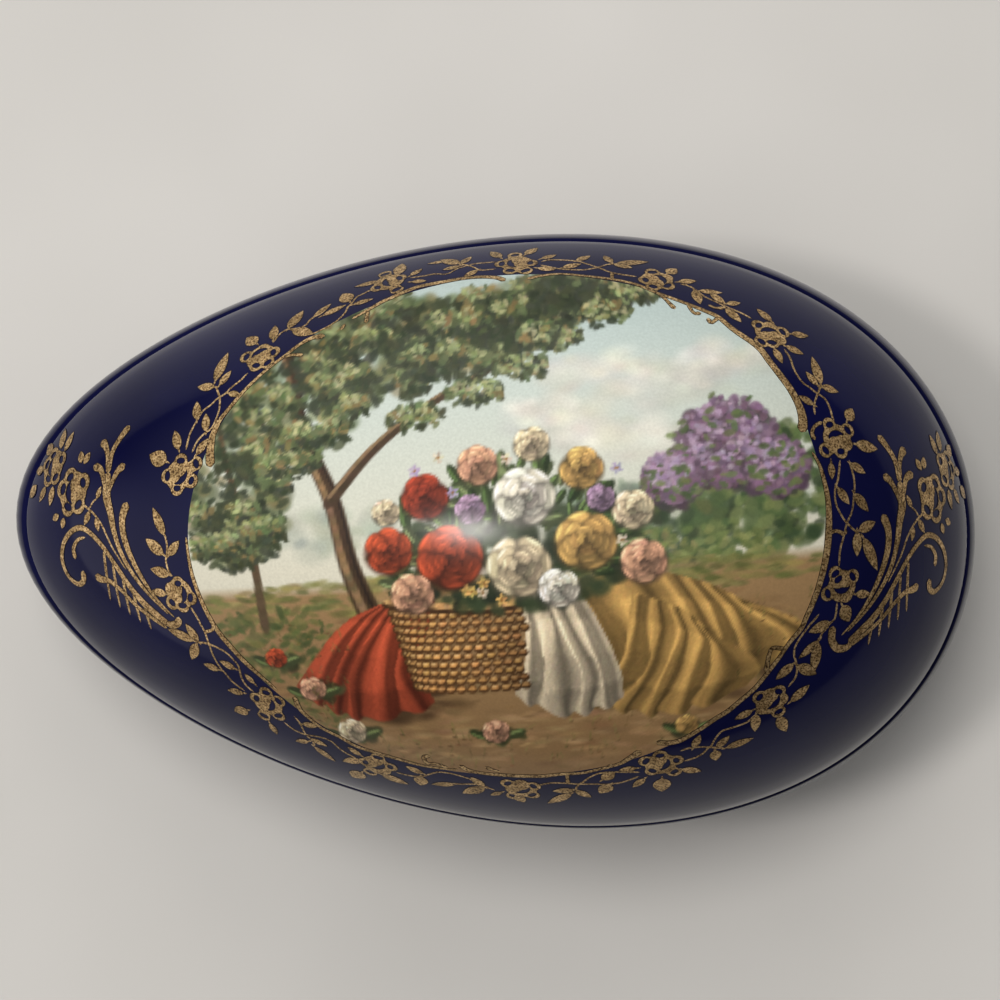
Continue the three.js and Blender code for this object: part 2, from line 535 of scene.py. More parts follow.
bpy.ops.object.mode_set(mode="EDIT")
select_open_edges()
extrude_through(lid, border, lid_loops)
close_to_pole(lid, (widest_t * (egg_length / 2 - lid_wall), 0, axis_height + lid_top_inside))
finish_shell(lid, sharp_edge)

# %% Which faces of the lid are painted, and which lie underneath
centres = vectors_of(lid.data.polygons, "center")
face_normals = vectors_of(lid.data.polygons, "normal")
face_bearings, face_reaches = oval_polar(*plan_to_oval(centres[:, 0], centres[:, 1]))
underneath = (centres[:, 2] < axis_height + lid_seat + lid_rim_radius) | (face_normals[:, 2] < 0)
painted = (face_reaches < waves(face_bearings) @ edge_fit) & ~underneath
print(int(painted.sum()), "painted faces,", int(underneath.sum()), "faces underneath")

# %% [markdown]
# ## The picture
#
# The oval shows a park: a big tree, a lilac bush, a meadow under a pale sky, and in front a basket
# of roses between three cloths, with fallen flowers on the ground. Painters on porcelain work in
# thin soft touches of the brush, so the picture is built the same way: thousands of soft oval dabs
# on a small canvas in memory. Each point of the lid then takes its colour from the canvas, as a
# colour attribute.

# %% The canvas and the brush
dots_per_mm = 10
canvas_half_length = 48.5
canvas_half_width = 38.5
canvas_rows = int(2 * canvas_half_width * dots_per_mm)
canvas_columns = int(2 * canvas_half_length * dots_per_mm)
canvas = np.zeros((canvas_rows, canvas_columns, 3))
brush = np.random.default_rng(7)


def dab(x, y, length, width, turn, colour, cover=1.0, softness=0.6):
    """Lays one oval touch of paint on the canvas. Places and half sizes are in millimetres."""
    reach = max(length, width)
    left = max(int((x - reach + canvas_half_length) * dots_per_mm), 0)
    right = min(int((x + reach + canvas_half_length) * dots_per_mm) + 2, canvas.shape[1])
    low = max(int((y - reach + canvas_half_width) * dots_per_mm), 0)
    high = min(int((y + reach + canvas_half_width) * dots_per_mm) + 2, canvas.shape[0])
    if left >= right or low >= high:
        return
    u = np.arange(left, right)[None] / dots_per_mm - canvas_half_length - x
    v = np.arange(low, high)[:, None] / dots_per_mm - canvas_half_width - y
    along = (u * math.cos(turn) + v * math.sin(turn)) / length
    across = (v * math.cos(turn) - u * math.sin(turn)) / width
    paint = np.clip((1 - np.hypot(along, across)) / softness, 0, 1)[:, :, None] * cover
    patch = canvas[low:high, left:right]
    patch += (np.asarray(colour, float) - patch) * paint


def shade(colour, factor):
    """A colour made darker or lighter."""
    return np.clip(np.asarray(colour, float) * factor, 0, 255)


def varied(colour, spread=0.08):
    """A colour with a small random change in lightness and in hue."""
    change = 1 + brush.normal(0, spread) + brush.normal(0, spread / 3, 3)
    return np.clip(np.asarray(colour, float) * change, 0, 255)


# %% Touches that come again and again
def mass(
    x, y, half_length, half_width, count, size, colours,
    cover=0.7, stretch=1.5, softness=0.5, sway=0.7,
):
    """A cloud of dabs inside an oval, such as leaves on a branch or grass in a meadow."""
    for _ in range(count):
        angle = brush.uniform(0, 2 * math.pi)
        reach = math.sqrt(brush.uniform(0, 1))
        place_x = x + half_length * reach * math.cos(angle)
        place_y = y + half_width * reach * math.sin(angle)
        length = size * brush.uniform(0.6, 1.4)
        colour = varied(colours[brush.integers(len(colours))])
        dab(place_x, place_y, length, length / stretch, brush.normal(0, sway), colour, cover, softness)


def line_of_dabs(points, widths, colour, cover=0.8, softness=0.5, spread=0.06):
    """A painted line through points, such as a trunk, a fold or a stem."""
    points = np.asarray(points, float)
    steps = np.linalg.norm(np.diff(points, axis=0), axis=1)
    lengths = np.concatenate([[0], np.cumsum(steps)])
    width_places = np.linspace(0, lengths[-1], len(widths))
    count = max(int(lengths[-1] / (max(widths) * 0.35)), 4)
    for at in np.linspace(0, lengths[-1], count):
        place_x = np.interp(at, lengths, points[:, 0])
        place_y = np.interp(at, lengths, points[:, 1])
        ahead = min(at + 0.3, lengths[-1])
        behind = max(at - 0.3, 0)
        run = np.interp(ahead, lengths, points[:, 0]) - np.interp(behind, lengths, points[:, 0])
        rise = np.interp(ahead, lengths, points[:, 1]) - np.interp(behind, lengths, points[:, 1])
        turn = math.atan2(rise, run)
        width = np.interp(at, width_places, widths)
        dab(place_x, place_y, width * 1.1, width * 0.55, turn, varied(colour, spread), cover, softness)


def curve_points(points, count=24):
    """A smooth curve through points in a plane or in space."""
    points = np.asarray(points, float)
    padded = np.vstack([2 * points[0] - points[1], points, 2 * points[-1] - points[-2]])
    at = np.linspace(0, len(points) - 1, count)
    at[-1] -= 1e-9
    start = at.astype(int)
    t = (at - start)[:, None]
    before, here, after, beyond = (padded[start + offset] for offset in range(4))
    return 0.5 * (
        2 * here
        + (after - before) * t
        + (2 * before - 5 * here + 4 * after - beyond) * t**2
        + (3 * here - before - 3 * after + beyond) * t**3
    )


def drape(top, bottom, bow, colour, folds, strands=80):
    """A cloth that falls in folds from one line to another, painted strand by strand."""
    starts = curve_points(top, strands)
    ends = curve_points(bottom, strands)
    order = np.arange(strands)
    paces = np.interp(order, np.linspace(0, strands, 2 * folds), brush.uniform(0.3, 1.9, 2 * folds))
    phases = 2 * math.pi * folds * np.cumsum(paces) / paces.sum()
    swings = np.interp(order, np.linspace(0, strands, folds + 2), brush.normal(0, 1.1, folds + 2))
    for start, end, phase, swing in zip(starts, ends, phases, swings):
        light = 0.84 + 0.27 * math.sin(phase) + 0.08 * math.sin(2.7 * phase + 1)
        upper = start + (end - start) * 0.3 + np.array(bow) * 0.7 + (0.5 * swing, 0)
        lower = start + (end - start) * 0.7 + np.array(bow) * 0.7 + (0.5 * math.cos(phase) - swing, 0)
        hem = end + (0, 0.5 * math.cos(phase))
        strand = curve_points([start, upper, lower, hem], 16)
        for first, fade in ((0, 0.92), (4, 1.06), (8, 1.0), (12, 0.82)):
            part = strand[first:first + 5]
            line_of_dabs(part, [0.5, 0.75], shade(colour, light * fade), 0.9, 0.4, 0.04)
        if math.sin(phase) > 0.93:
            line_of_dabs(strand[2:12], [0.1, 0.4, 0.1], shade(colour, 1.4), 0.5, 0.6, 0.03)


def painted_leaf(x, y, length, turn, colour):
    """A leaf in two touches, one half lighter, with a thin vein."""
    side_x = -math.sin(turn) * length * 0.13
    side_y = math.cos(turn) * length * 0.13
    dab(x, y, length, length * 0.42, turn, shade(colour, 0.62), 0.95, 0.25)
    dab(x + side_x, y + side_y, length * 0.85, length * 0.22, turn, shade(colour, 1.4), 0.85, 0.4)
    dab(x, y, length * 0.8, length * 0.05 + 0.08, turn, shade(colour, 0.5), 0.7, 0.5)


light_from = math.radians(125)


def painted_rose(x, y, radius, colour, turn=0.0, squash=0.9):
    """An open rose: rings of petals from the outside to the heart, lit from the upper left."""
    dab(x, y - 0.12 * radius, radius * 1.08, radius * squash * 1.05, 0, shade(colour, 0.38), 0.85, 0.25)
    for ring, (share, petals) in enumerate(((0.62, 6), (0.44, 5), (0.27, 4), (0.13, 3))):
        for petal in range(petals):
            angle = turn + 2 * math.pi * (petal + 0.5 * ring) / petals + brush.normal(0, 0.15)
            petal_x = x + radius * share * math.cos(angle)
            petal_y = y + radius * share * squash * math.sin(angle)
            light = 0.92 + 0.24 * math.cos(angle - light_from) - 0.06 * ring
            half = radius * (0.44 - 0.08 * ring)
            along = angle + math.pi / 2
            dab(petal_x, petal_y, half * 1.18, half * 0.84, along, shade(colour, light * 0.55), 0.9, 0.25)
            lit_x = petal_x + 0.16 * half * math.cos(angle)
            lit_y = petal_y + 0.16 * half * math.sin(angle)
            dab(lit_x, lit_y, half, half * 0.66, along, varied(shade(colour, light), 0.04), 0.95, 0.3)
            edge_x = petal_x + 0.55 * half * math.cos(angle)
            edge_y = petal_y + 0.55 * half * math.sin(angle)
            dab(edge_x, edge_y, half * 0.75, half * 0.17, along, shade(colour, light * 1.35), 0.8, 0.6)
    dab(x, y, radius * 0.14, radius * 0.11, turn, shade(colour, 0.42), 0.9, 0.4)
    print("rose of %.1f mm at %.0f, %.0f" % (radius, x, y))


# %% Sky and distance
sky_high = np.array([184, 200, 196])
sky_low = np.array([214, 210, 190])
heights = np.linspace(-canvas_half_width, canvas_half_width, canvas.shape[0])
sky_share = np.clip((heights + 4) / 34, 0, 1)[:, None, None]
canvas[:] = sky_low + (sky_high - sky_low) * sky_share
for x, y, half_length in ((16, 22, 9), (25, 19, 10), (34, 22, 8), (8, 16, 8), (20, 12, 12)):
    mass(x, y - 1, half_length, 2.2, 26, 3.2, [(196, 192, 178), (204, 196, 184)], 0.25, 2.0, 1.0, 0.2)
    mass(x, y + 0.6, half_length * 0.9, 1.8, 22, 2.6, [(229, 224, 208), (224, 220, 206)], 0.35, 1.7, 0.9, 0.2)
mass(4, 1, 46, 4, 150, 2.6, [(146, 158, 142), (162, 168, 150), (132, 146, 132)], 0.4, 1.6, 0.7, 0.3)
mass(10, 3.2, 20, 2.4, 120, 1.2, [(122, 138, 116), (136, 148, 124), (110, 126, 106)], 0.5, 1.4, 0.5)
print("sky and distance are painted")

# %% Bushes and lilac
bush_greens = [(66, 82, 50), (84, 100, 60), (52, 66, 44), (104, 114, 70)]
mass(30, -2, 16, 6, 260, 1.5, bush_greens, 0.75, 1.5, 0.4)
mass(41, 4, 7, 8, 170, 1.3, bush_greens, 0.75, 1.5, 0.4)
mass(25, -5, 14, 3.2, 160, 0.9, [(120, 126, 76), (136, 138, 86), (96, 108, 62)], 0.7, 1.6, 0.4)
lilac_darks = [(70, 56, 66), (84, 66, 80), (62, 60, 56)]
lilac_middles = [(112, 88, 106), (126, 98, 122), (100, 78, 92)]
lilac_lights = [(152, 128, 152), (168, 146, 166)]
for x, y, half_length, half_width in ((33, 10, 7.5, 6.5), (25, 5.5, 4.2, 3.6), (40, 6, 4.5, 4)):
    mass(x, y - 0.6, half_length, half_width, 170, 1.1, lilac_darks, 0.75, 1.3, 0.4)
    mass(x, y, half_length, half_width, 260, 0.75, lilac_middles, 0.8, 1.3, 0.4)
    mass(x - 0.7, y + 1, half_length * 0.8, half_width * 0.75, 130, 0.55, lilac_lights, 0.8, 1.2, 0.5)
    mass(x, y, half_length * 1.1, half_width * 1.1, 40, 0.8, [(74, 92, 54), (96, 108, 66)], 0.8, 1.8, 0.4)
print("the bushes are painted")

# %% The ground
ground_light = np.array([150, 120, 82])
ground_dark = np.array([136, 106, 70])
horizon = -6
for row, height in enumerate(heights):
    if height < horizon:
        share = min((horizon - height) / 28, 1)
        blend = min((horizon - height) / 2, 1)
        canvas[row] += (ground_light + (ground_dark - ground_light) * share - canvas[row]) * blend
meadow = [(104, 108, 58), (126, 120, 68), (86, 92, 50), (140, 128, 78)]
earth = [(144, 112, 74), (126, 96, 62), (160, 128, 88), (112, 88, 58)]
mass(0, -8.5, 48, 3.0, 420, 1.5, meadow, 0.65, 3, 0.5, 0.15)
mass(0, -22, 48, 15, 520, 2.2, earth, 0.4, 4, 0.6, 0.12)
mass(10, -31, 34, 4, 150, 2.0, [(180, 148, 104), (166, 134, 92)], 0.45, 5, 0.7, 0.1)
mass(-36, -15, 10, 6, 200, 1.1, [(66, 78, 42), (86, 94, 52), (112, 108, 62)], 0.7, 2.2, 0.4, 0.8)
mass(-33, -27, 8, 4, 120, 0.9, [(78, 84, 46), (98, 98, 56), (120, 110, 64)], 0.6, 2.4, 0.4, 0.8)
print("the ground is painted")

# %% The tree
trunk = curve_points([(-20, -13), (-23, -4), (-25, 6), (-29, 16), (-31, 26), (-36, 36)], 40)
bough = curve_points([(-25, 6), (-18, 13), (-9, 19), (1, 24), (8, 30)], 30)
twig = curve_points([(-28, 13), (-36, 18), (-42, 24)], 16)
second_trunk = curve_points([(-37, -12), (-38, 0), (-41, 12), (-43, 22)], 30)
leaf_darks = [(46, 54, 36), (60, 66, 44), (54, 60, 46)]
leaf_middles = [(84, 98, 62), (102, 110, 74), (76, 86, 54), (122, 106, 66)]
leaf_lights = [(146, 154, 108), (164, 162, 118), (128, 136, 86)]
crowns = (
    (-34, 22, 14, 11), (-20, 27, 12, 8), (-7, 29, 10, 6), (4, 31, 8, 4.5), (-40, 6, 8, 9),
    (14, 34, 9, 3.5),
)
for x, y, half_length, half_width in crowns:
    mass(x, y, half_length, half_width, 110, 2.0, leaf_middles, 0.55, 1.4, 0.5)
line_of_dabs(second_trunk, [1.5, 1.2, 0.8], (84, 68, 48), 0.9, 0.4)
line_of_dabs(trunk, [3.8, 3.0, 2.6, 2.0, 1.4], (62, 46, 32), 0.95, 0.3)
line_of_dabs(trunk + (-0.7, 0.1), [1.5, 1.1, 0.9, 0.6], (124, 98, 68), 0.75, 0.5, 0.14)
line_of_dabs(trunk + (0.9, 0), [0.5, 0.4, 0.3], (38, 28, 22), 0.7, 0.5)
line_of_dabs(bough, [1.8, 1.3, 0.9, 0.5], (66, 50, 36), 0.95, 0.3)
line_of_dabs(bough + (-0.3, 0.4), [0.6, 0.5, 0.3], (132, 106, 76), 0.7, 0.5)
line_of_dabs(twig, [1.2, 0.9, 0.5], (64, 50, 36), 0.9, 0.4)
for x, y, half_length, half_width in crowns:
    mass(x, y - 1, half_length, half_width, 220, 1.1, leaf_darks, 0.8, 1.8, 0.35, 1.0)
    for _ in range(int(half_length * half_width / 6)):
        angle = brush.uniform(0, 2 * math.pi)
        reach = math.sqrt(brush.uniform(0, 1))
        clump_x = x + half_length * reach * math.cos(angle)
        clump_y = y + half_width * reach * math.sin(angle)
        mass(clump_x, clump_y, 2.6, 1.7, 26, 0.85, leaf_middles, 0.85, 1.8, 0.35, 1.0)
        mass(clump_x - 0.6, clump_y + 0.7, 1.7, 0.9, 14, 0.6, leaf_lights, 0.8, 1.8, 0.4, 1.0)
        mass(clump_x + 0.8, clump_y - 1.6, 1.8, 0.7, 10, 0.8, leaf_darks, 0.85, 1.8, 0.4, 1.0)
for x, y in ((-3, 20), (4, 23), (9, 27), (16, 30), (-12, 17), (21, 33)):
    mass(x, y, 4.4, 2.0, 70, 0.8, leaf_darks + leaf_middles, 0.85, 1.8, 0.35, 1.0)
    mass(x, y + 0.6, 3.8, 1.4, 34, 0.55, leaf_lights, 0.8, 1.8, 0.4, 1.0)
print("the tree is painted")

# %% Three cloths
ochre = (186, 146, 82)
linen = (216, 198, 166)
scarlet = (172, 74, 48)
mass(21, -22, 18, 6, 60, 3.0, [(56, 40, 26)], 0.5, 2.5, 0.8, 0.1)
mass(-19, -24, 12, 3.5, 40, 2.6, [(56, 40, 26)], 0.5, 2.5, 0.8, 0.1)
ochre_top = [(8, -9), (18, -7.5), (28, -10), (35, -14)]
ochre_hem = [(12, -24), (22, -25), (32, -24), (43, -21)]
drape(ochre_top, ochre_hem, (2, 1), ochre, 6, 150)
drape([(18, -11), (25, -14), (30, -19)], [(10, -26), (21, -28.5), (33, -26)], (3.0, 1.0), ochre, 5, 110)
drape([(-19, -10), (-15, -9), (-11, -10)], [(-33, -22), (-24, -26.5), (-13, -25)], (-2, 1.5), scarlet, 5, 120)
drape([(1.5, -9.5), (5, -8.5), (10, -9.5)], [(0, -24.5), (7, -27.5), (15, -26)], (1.5, -0.5), linen, 4, 90)
print("the cloths are painted")

# %% The basket
basket_x = -5
basket_y = -15
basket_half = 12.5
basket_rows = 11
for row in range(basket_rows):
    share = row / (basket_rows - 1)
    row_y = basket_y + 5.2 - 12.4 * share
    row_half = basket_half * (1 - 0.22 * share)
    count = int(row_half * 1.9)
    for column in range(count):
        place = -1 + 2 * (column + 0.5 * (row % 2)) / count
        row_x = basket_x + row_half * math.sin(place * math.pi / 2)
        if row_x > 2.5 - 0.1 * row:
            continue
        light = 0.60 + 0.55 * math.cos((place + 0.35) * math.pi / 2)
        sag = -1.1 * (1 - place**2)
        dab(row_x, row_y + sag, 0.92, 0.72, 0, shade((70, 46, 26), light), 1.0, 0.25)
        dab(row_x, row_y + sag + 0.12, 0.74, 0.40, 0.1, varied(shade((188, 140, 82), light), 0.06), 0.95, 0.4)
        dab(row_x - 0.1, row_y + sag + 0.26, 0.5, 0.12, 0.1, shade((226, 188, 130), light), 0.7, 0.6)
rim_line = curve_points([(basket_x - 12.6, -9.6), (basket_x, -11.2), (basket_x + 7.2, -10.6)], 30)
line_of_dabs(rim_line + (0, -0.4), [1.2, 1.2], (60, 40, 24), 0.9, 0.3)
line_of_dabs(rim_line + (0, 0.1), [0.9, 0.9], (194, 150, 94), 0.9, 0.4, 0.12)
print("the basket is painted")

# %% Leaves and flowers in the basket
foliage = [(46, 64, 34), (66, 86, 46), (84, 104, 58), (104, 116, 76)]
mass(1, -4, 19, 8, 200, 1.8, [(38, 48, 30), (50, 62, 38), (34, 40, 28)], 0.85, 1.4, 0.5)
for _ in range(170):
    angle = brush.uniform(-0.3, math.pi + 0.3)
    reach = brush.uniform(0.5, 1.0)
    leaf_x = 1 + 20 * reach * math.cos(angle)
    leaf_y = -5 + 14.5 * reach * math.sin(angle)
    leaf_turn = angle + brush.normal(0, 0.5)
    painted_leaf(leaf_x, leaf_y, brush.uniform(1.3, 2.5), leaf_turn, foliage[brush.integers(4)])

cream = (212, 192, 156)
white = (228, 220, 200)
vermilion = (166, 66, 38)
brick = (140, 52, 34)
gold_yellow = (190, 150, 86)
blush = (204, 152, 120)
mauve = (150, 122, 146)
flowers = (
    (-3, 9.5, 3.2, blush), (5, 12, 2.8, cream), (-11, 5.5, 3.7, brick), (12, 8, 3.4, gold_yellow),
    (19, 1.5, 3.2, cream), (-17, -2, 3.8, vermilion), (3.5, 4.5, 4.8, white),
    (-8, -3.5, 5.2, vermilion), (12, -2.5, 4.8, gold_yellow), (2, -5.5, 5.0, cream),
    (20, -6, 3.6, blush), (-14, -8.5, 3.4, blush), (7.5, -9, 3.2, white), (-4.5, 3.2, 2.4, mauve),
    (14.5, 3.5, 2.2, mauve), (-17, 3.6, 2.2, cream),
)
for x, y, radius, colour in flowers:
    painted_rose(x, y, radius, colour, brush.uniform(0, 6))
for _ in range(90):
    angle = brush.uniform(0, 2 * math.pi)
    x = 1 + 21 * math.sqrt(brush.uniform(0, 1)) * math.cos(angle)
    y = 1 + 12 * math.sqrt(brush.uniform(0, 1)) * math.sin(angle)
    blossom = [(206, 190, 168), (160, 146, 176), (214, 170, 96)][brush.integers(3)]
    if all(math.hypot(x - rose_x, y - rose_y) > radius + 0.3 for rose_x, rose_y, radius, _ in flowers):
        for petal in range(5):
            angle = 2 * math.pi * petal / 5 + x
            petal_x = x + 0.55 * math.cos(angle)
            petal_y = y + 0.55 * math.sin(angle)
            dab(petal_x, petal_y, 0.46, 0.34, angle, varied(blossom), 0.95, 0.4)
        dab(x, y, 0.28, 0.28, 0, (140, 92, 40), 0.9, 0.4)

# %% Fallen flowers, pebbles and grass in front
fallen = (
    (-31, -22, 2.2, blush), (-26, -29, 2.4, cream), (-36, -17, 1.8, vermilion),
    (-4, -30, 2.2, blush), (24, -31, 1.8, gold_yellow),
)
for x, y, radius, colour in fallen:
    mass(x + 1, y - 0.6, 3.4, 1.5, 20, 1.0, [(46, 50, 30), (70, 74, 44)], 0.75, 1.5, 0.5)
    painted_leaf(x + radius * 1.3, y - 0.6, 1.9, 0.3, (92, 104, 62))
    painted_leaf(x - radius * 1.2, y - 0.4, 1.8, 2.7, (78, 90, 52))
    painted_rose(x, y, radius, colour, brush.uniform(0, 6), 0.8)
for _ in range(420):
    x = brush.uniform(-44, 44)
    y = brush.uniform(-37, -12)
    if abs(x - 4) > 28 or y < -29:
        pebble = varied((84, 62, 38), 0.2)
        dab(x, y, brush.uniform(0.2, 0.6), 0.15, brush.uniform(-0.3, 0.3), pebble, 0.7, 0.6)
        tuft = brush.uniform(0.5, 1.4)
        lean = math.pi / 2 + brush.normal(0, 0.4)
        dab(x, y + 0.5, tuft, 0.13, lean, varied((110, 106, 58), 0.15), 0.5, 0.6)
print("the picture is painted")

# %% The picture's colours on the lid
lid_places = vectors_of(lid.data.vertices, "co")
point_along, point_across = plan_to_oval(lid_places[:, 0], lid_places[:, 1])


def canvas_at(along, across):
    """The canvas colours at places given in metres, blended between the nearest dots."""
    column = np.clip((along / mm + canvas_half_length) * dots_per_mm, 0, canvas.shape[1] - 1.001)
    row = np.clip((across / mm + canvas_half_width) * dots_per_mm, 0, canvas.shape[0] - 1.001)
    left = column.astype(int)
    low = row.astype(int)
    right_share = (column - left)[:, None]
    high_share = (row - low)[:, None]
    lower = canvas[low, left] * (1 - right_share) + canvas[low, left + 1] * right_share
    upper = canvas[low + 1, left] * (1 - right_share) + canvas[low + 1, left + 1] * right_share
    return lower * (1 - high_share) + upper * high_share


def linear(colour):
    """Screen colours, 0 to 255, as the linear colours that a shader works with."""
    colour = np.asarray(colour, float) / 255
    return np.where(colour <= 0.04045, colour / 12.92, ((colour + 0.055) / 1.055) ** 2.4)


paint_strength = 0.74
paint_contrast = 0.82
paint_colours = np.ones((len(lid_places), 4))
paint_colours[:, :3] = paint_strength * linear(canvas_at(point_along, point_across)) ** paint_contrast
paint = lid.data.color_attributes.new(name="paint", type="FLOAT_COLOR", domain="POINT")
paint.data.foreach_set("color", paint_colours.ravel())
print("paint attribute on", len(lid_places), "points")

# %% [markdown]
# ## The gilding
#
# The gold is a transfer: a thin film of gold fired onto the glaze, darker along its edge. It is drawn
# as flat shapes, roses with cut-out petals, leaves and tapering strokes, and laid on the egg, where
# it stands a few hundredths of a millimetre proud. There are hundreds of small shapes and each must
# follow the curved glaze, so they are drawn by code rather than by hand, and joined into one film.

# %% The film and what is added to it
film_height = 0.035 * mm
film_thickness = 0.07 * mm
film_edge = 0.15
film_places = []
film_faces = []
film_tones = []


def add_to_film(places, faces, tones):
    """Adds a shape that lies on the egg. A tone is 0 at its dark edge and 1 where the gold is full."""
    first = len(film_places)
    film_places.extend(places + egg_normals(places) * film_height)
    film_faces.extend([tuple(first + index for index in face) for face in faces])
    film_tones.extend(tones)


def stand_at(place, ahead):
    """A place on the egg with its directions ahead, to the left and out of the surface."""
    out = egg_normals(place[None])[0]
    ahead = ahead - out * (ahead @ out)
    ahead = ahead / np.linalg.norm(ahead)
    return place, ahead, np.cross(out, ahead), out


def lay(stand, points, turn=0.0, scale=1.0, side=1.0):
    """Lays flat points, in millimetres, on the egg around a stand. side -1 mirrors them."""
    place, ahead, left, out = stand
    points = np.asarray(points, float) * mm * scale
    x = points[:, 0] * math.cos(turn) - points[:, 1] * math.sin(turn)
    y = (points[:, 0] * math.sin(turn) + points[:, 1] * math.cos(turn)) * side
    starts = place + x[:, None] * ahead + y[:, None] * left + out * 3 * mm
    return meet_egg(starts, np.broadcast_to(-out, starts.shape), 32 * mm)


# %% Strokes: lines of gold with a width that swells and tapers
def stroke(places, widths, step=0.5, dark_edge=True):
    """A stroke of gold along places on the egg. widths, in millimetres, run from end to end."""
    path = curve_points(places, 12 * len(places))
    lengths = np.concatenate([[0], np.cumsum(np.linalg.norm(np.diff(path, axis=0), axis=1))])
    count = max(int(lengths[-1] / (step * mm)), 3) + 1
    at = np.linspace(0, lengths[-1], count)
    path = np.column_stack([np.interp(at, lengths, path[:, axis]) for axis in range(3)])
    shares = np.linspace(0, 1, count)
    half = np.interp(shares, np.linspace(0, 1, len(widths)), widths) / 2 * mm
    from_end = np.minimum(at, lengths[-1] - at)
    end_half = np.where(shares < 0.5, widths[0], widths[-1]) / 2 * mm
    rounding = np.sqrt(np.clip(1 - (1 - np.clip(from_end / end_half, 0, 1)) ** 2, 0.02, 1))
    half = half * rounding
    ahead = np.gradient(path, axis=0)
    out = egg_normals(path)
    left = np.cross(out, ahead)
    left = left / np.linalg.norm(left, axis=1, keepdims=True)
    edge = np.minimum(film_edge * mm, half * 0.45) if dark_edge else half * 0.3
    rows = [path + left * half[:, None], path + left * (half - edge)[:, None]]
    rows += [path - left * (half - edge)[:, None], path - left * half[:, None]]
    places = settle(np.stack(rows, axis=1).reshape(-1, 3))
    tones = [0.0, 1.0, 1.0, 0.0] if dark_edge else [0.6, 1.0, 1.0, 0.6]
    faces = []
    for index in range(count - 1):
        for column in range(3):
            corner = 4 * index + column
            faces.append((corner, corner + 1, corner + 5, corner + 4))
    add_to_film(places, faces, tones * count)


def settle(places):
    """Puts places that are near the egg's surface onto it, straight towards its axis."""
    from_axis = np.hypot(places[:, 1], places[:, 2] - axis_height)
    share = radius_at(places[:, 0]) / from_axis
    return np.column_stack([
        places[:, 0],
        places[:, 1] * share,
        axis_height + (places[:, 2] - axis_height) * share,
    ])


# %% Cut shapes: outlines that are filled, with their holes left open
def is_within(point, loop):
    """Whether a flat point lies within a closed outline."""
    x, y = point
    ends = np.roll(loop, -1, axis=0)
    crosses = (loop[:, 1] > y) != (ends[:, 1] > y)
    rise = np.where(crosses, ends[:, 1] - loop[:, 1], 1)
    at = loop[:, 0] + (y - loop[:, 1]) / rise * (ends[:, 0] - loop[:, 0])
    return int((crosses & (at > x)).sum()) % 2 == 1


def grown(loop, amount):
    """An outline, drawn against the clock, made larger all round, or smaller by a negative amount."""
    ahead = np.roll(loop, -1, axis=0) - np.roll(loop, 1, axis=0)
    ahead = ahead / np.linalg.norm(ahead, axis=1, keepdims=True)
    return loop + np.column_stack([ahead[:, 1], -ahead[:, 0]]) * amount


def cut_shape(outer, holes=()):
    """Fills an outline around its holes. Returns flat points, faces and tones."""
    rings = [(outer, 0.0), (grown(outer, -film_edge), 1.0)]
    for hole in holes:
        rings += [(hole, 0.0), (grown(hole, film_edge), 1.0)]
    points, edges, tones = [], [], []
    for ring, tone in rings:
        first = len(points)
        points += [Vector(point) for point in ring]
        edges += [(first + index, first + (index + 1) % len(ring)) for index in range(len(ring))]
        tones += [tone] * len(ring)
    made, _, faces, sources, _, _ = delaunay_2d_cdt(points, edges, [], 0, 1e-5)
    made = np.array([tuple(point) for point in made])
    kept = []
    for face in faces:
        middle = made[list(face)].mean(axis=0)
        if is_within(middle, outer) and not any(is_within(middle, hole) for hole in holes):
            kept.append(face)
    made_tones = [min((tones[source] for source in group), default=0.5) for group in sources]
    return made, kept, made_tones


def moved(points, turn, x, y):
    """Flat points, turned by an angle and then moved."""
    return np.column_stack([
        x + points[:, 0] * math.cos(turn) - points[:, 1] * math.sin(turn),
        y + points[:, 0] * math.sin(turn) + points[:, 1] * math.cos(turn),
    ])


def oval(x, y, half_length, half_width, turn, count=14):
    """An oval outline, drawn against the clock."""
    angles = np.linspace(0, 2 * math.pi, count, endpoint=False)
    loop = np.column_stack([half_length * np.cos(angles), half_width * np.sin(angles)])
    return moved(loop, turn, x, y)


def crescent(x, y, radius, thickness, turn, spread=1.25, count=9):
    """A crescent outline that opens away from its turn."""
    angles = np.linspace(-spread, spread, count)
    bulge = thickness * np.cos(angles / spread * math.pi / 2)
    directions = np.column_stack([np.cos(angles), np.sin(angles)])
    outside = directions * radius
    inside = (directions * (radius - bulge)[:, None])[-2:0:-1]
    return moved(np.vstack([outside, inside]), turn, x, y)


# %% Leaves and roses as cut shapes
def leaf_shape(length, width, fullness=0.85, count=9):
    """A leaf that starts at the origin and points along x."""
    shares = np.linspace(0, 1, count)
    half = width / 2 * np.sin(np.pi * shares**fullness) ** 0.8
    half[0] = half[-1] = 0
    lower = np.column_stack([shares * length, -half])
    upper = np.column_stack([shares * length, half])[-2:0:-1]
    return cut_shape(np.vstack([lower, upper]))


lobe_radius = 1.2
solid_lobe_reach = 1.6
body_radius = 2.45
petal_in = 0.95
widest_gap = 1.9
heart_radius = 1.5
heart_thickness = 0.9


